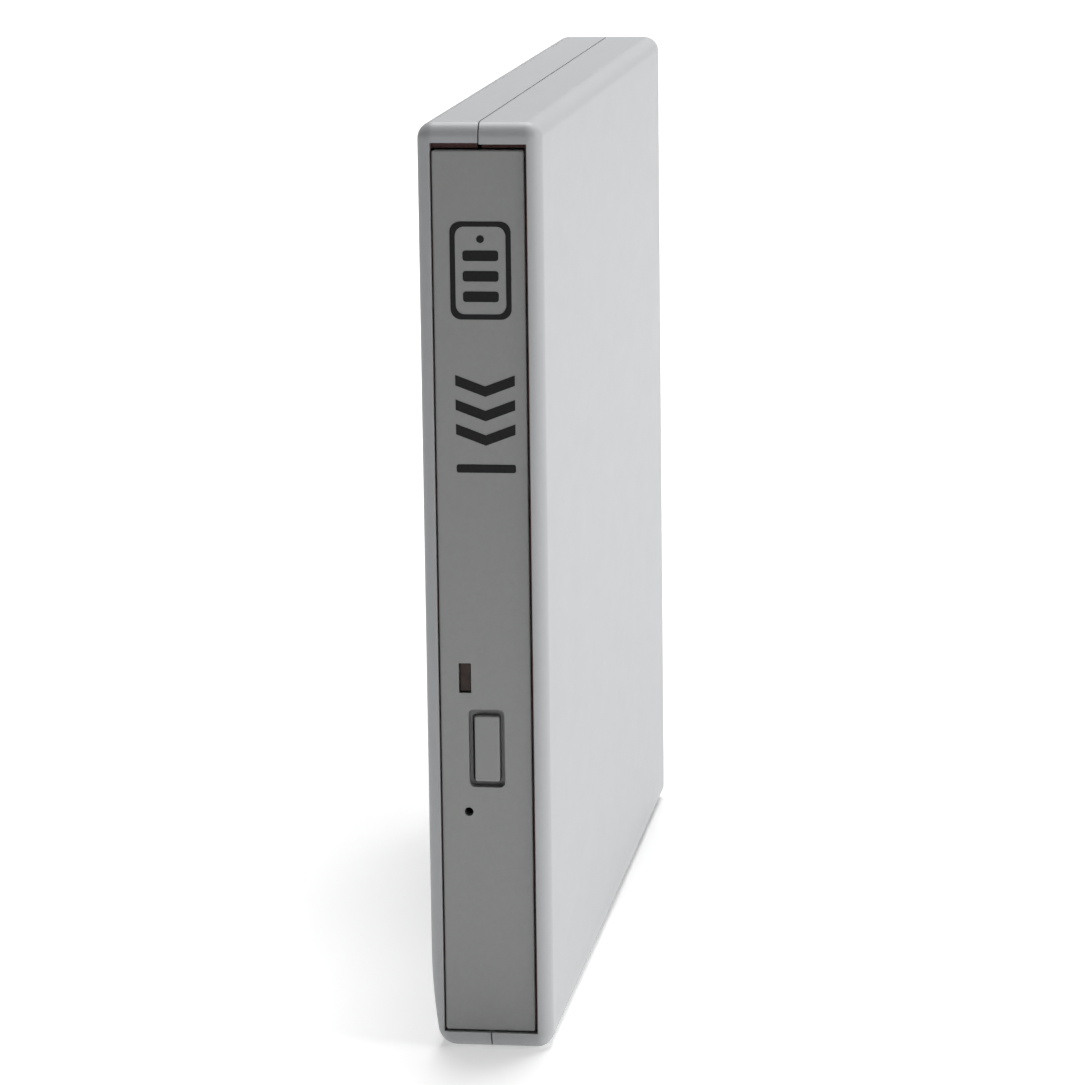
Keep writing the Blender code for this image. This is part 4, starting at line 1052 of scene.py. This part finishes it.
def make_stage():
    """A pale floor that glows: most of all far away and behind the drive, and in a patch at the drive's
    front left, where the glow is painted light over the drive's shadow that also lights the drive's
    front from below.
    """
    block = box((-FLOOR_HALF, -FLOOR_HALF, -10.0), (FLOOR_HALF, FLOOR_HALF, -0.02))
    mesh = mesh_from("floor", [block])
    floor = bpy.data.objects.new("floor", mesh)
    bpy.context.scene.collection.objects.link(floor)
    paper = Surface("floor_paper", 0.9)
    paper.colour(paper.ramp(paper.noise(0.05, 4.0), [(0.3, (0.90,) * 3), (0.7, (0.93,) * 3)]))
    paper.shader.inputs["Emission Color"].default_value = (1, 1, 1, 1)
    depth = paper.node("SeparateXYZ", Vector=paper.place).outputs["Y"]
    away = paper.node("VectorMath", Vector=paper.place)
    away.operation = "DISTANCE"
    away.inputs[1].default_value = SHADOW_FILL_SPOT
    # the glowing patch that paints light over the drive's shadow
    shadow_fill = paper.node("MapRange", Value=away.outputs["Value"], From_Max=SHADOW_FILL_REACH,
                      To_Min=FLOOR_GLOW + SHADOW_FILL_GLOW, To_Max=FLOOR_GLOW)
    shadow_fill.interpolation_type = "SMOOTHSTEP"
    behind = paper.node("MapRange", Value=depth, From_Min=BEHIND_Y[0], From_Max=BEHIND_Y[1],
                        To_Min=shadow_fill.outputs["Result"], To_Max=BEHIND_GLOW)
    reach = paper.node("VectorMath", Vector=paper.place)
    reach.operation = "LENGTH"
    rim = paper.node("MapRange", Value=reach.outputs["Value"], From_Min=RIM_REACH[0],
                     From_Max=RIM_REACH[1], To_Max=RIM_GLOW)
    most = paper.node("Math", Value=behind.outputs["Result"])
    most.operation = "MAXIMUM"
    paper.tree.links.new(rim.outputs["Result"], most.inputs[1])
    paper.tree.links.new(most.outputs["Value"], paper.shader.inputs["Emission Strength"])
    floor.data.materials.append(paper.material)


def area_light(name, place, target, size, power):
    """A square softbox that the camera does not see."""
    data = bpy.data.lights.new(name, "AREA")
    data.energy = power
    data.size = size
    light = bpy.data.objects.new(name, data)
    light.location = place
    light.rotation_euler = (Vector(target) - Vector(place)).to_track_quat("-Z", "Y").to_euler()
    light.visible_camera = False
    bpy.context.scene.collection.objects.link(light)


def make_lights():
    """Two softboxes, at the right and above, in a room that is brighter above and behind.

    The camera sees the room itself as plain white.
    """
    world = bpy.data.worlds.new("studio")
    bpy.context.scene.world = world
    world.use_nodes = True
    tree = world.node_tree
    toward = tree.nodes.new("ShaderNodeTexCoord").outputs["Generated"]
    facing = tree.nodes.new("ShaderNodeVectorMath")
    facing.operation = "DOT_PRODUCT"
    facing.inputs[1].default_value = WORLD_TOWARD
    tree.links.new(toward, facing.inputs[0])
    strength = tree.nodes.new("ShaderNodeMapRange")
    strength.inputs["From Min"].default_value = WORLD_FROM
    strength.inputs["To Min"].default_value = WORLD_LOW
    strength.inputs["To Max"].default_value = WORLD_HIGH
    tree.links.new(facing.outputs["Value"], strength.inputs["Value"])
    seen = tree.nodes.new("ShaderNodeMath")
    seen.operation = "MAXIMUM"
    tree.links.new(strength.outputs["Result"], seen.inputs[0])
    tree.links.new(tree.nodes.new("ShaderNodeLightPath").outputs["Is Camera Ray"], seen.inputs[1])
    background = tree.nodes["Background"]
    background.inputs["Color"].default_value = (1, 1, 1, 1)
    tree.links.new(seen.outputs["Value"], background.inputs["Strength"])
    middle = (0, 0, HEIGHT / 2 * MM)
    area_light("side_softbox", SIDE_PLACE, middle, SIDE_SIZE, SIDE_POWER)
    area_light("top_softbox", TOP_PLACE, middle, TOP_SIZE, TOP_POWER)


def make_camera():
    """A long lens from the front right, a little above."""
    data = bpy.data.cameras.new("camera")
    data.lens = LENS
    data.sensor_width = 36.0
    camera = bpy.data.objects.new("camera", data)
    yaw = Matrix.Rotation(radians(CAMERA_YAW), 4, "Z")
    pitch = Matrix.Rotation(radians(90.0 - CAMERA_PITCH), 4, "X")
    roll = Matrix.Rotation(radians(CAMERA_ROLL), 4, "Z")
    camera.matrix_world = Matrix.Translation(CAMERA_PLACE) @ yaw @ pitch @ roll
    bpy.context.scene.collection.objects.link(camera)
    bpy.context.scene.camera = camera


dress_nodes()
make_upper_case()
make_lower_case()
make_feet()
make_case_screws()
make_sockets()
make_bezel()
make_gap_shade()
make_button()
make_led()
make_prints()
make_tray()
make_deck()
make_spindle()
make_pickup()
make_rails()
make_shield()
make_flex()
make_spring()
make_stage()
make_lights()
make_camera()
bpy.context.scene.view_settings.view_transform = "Standard"
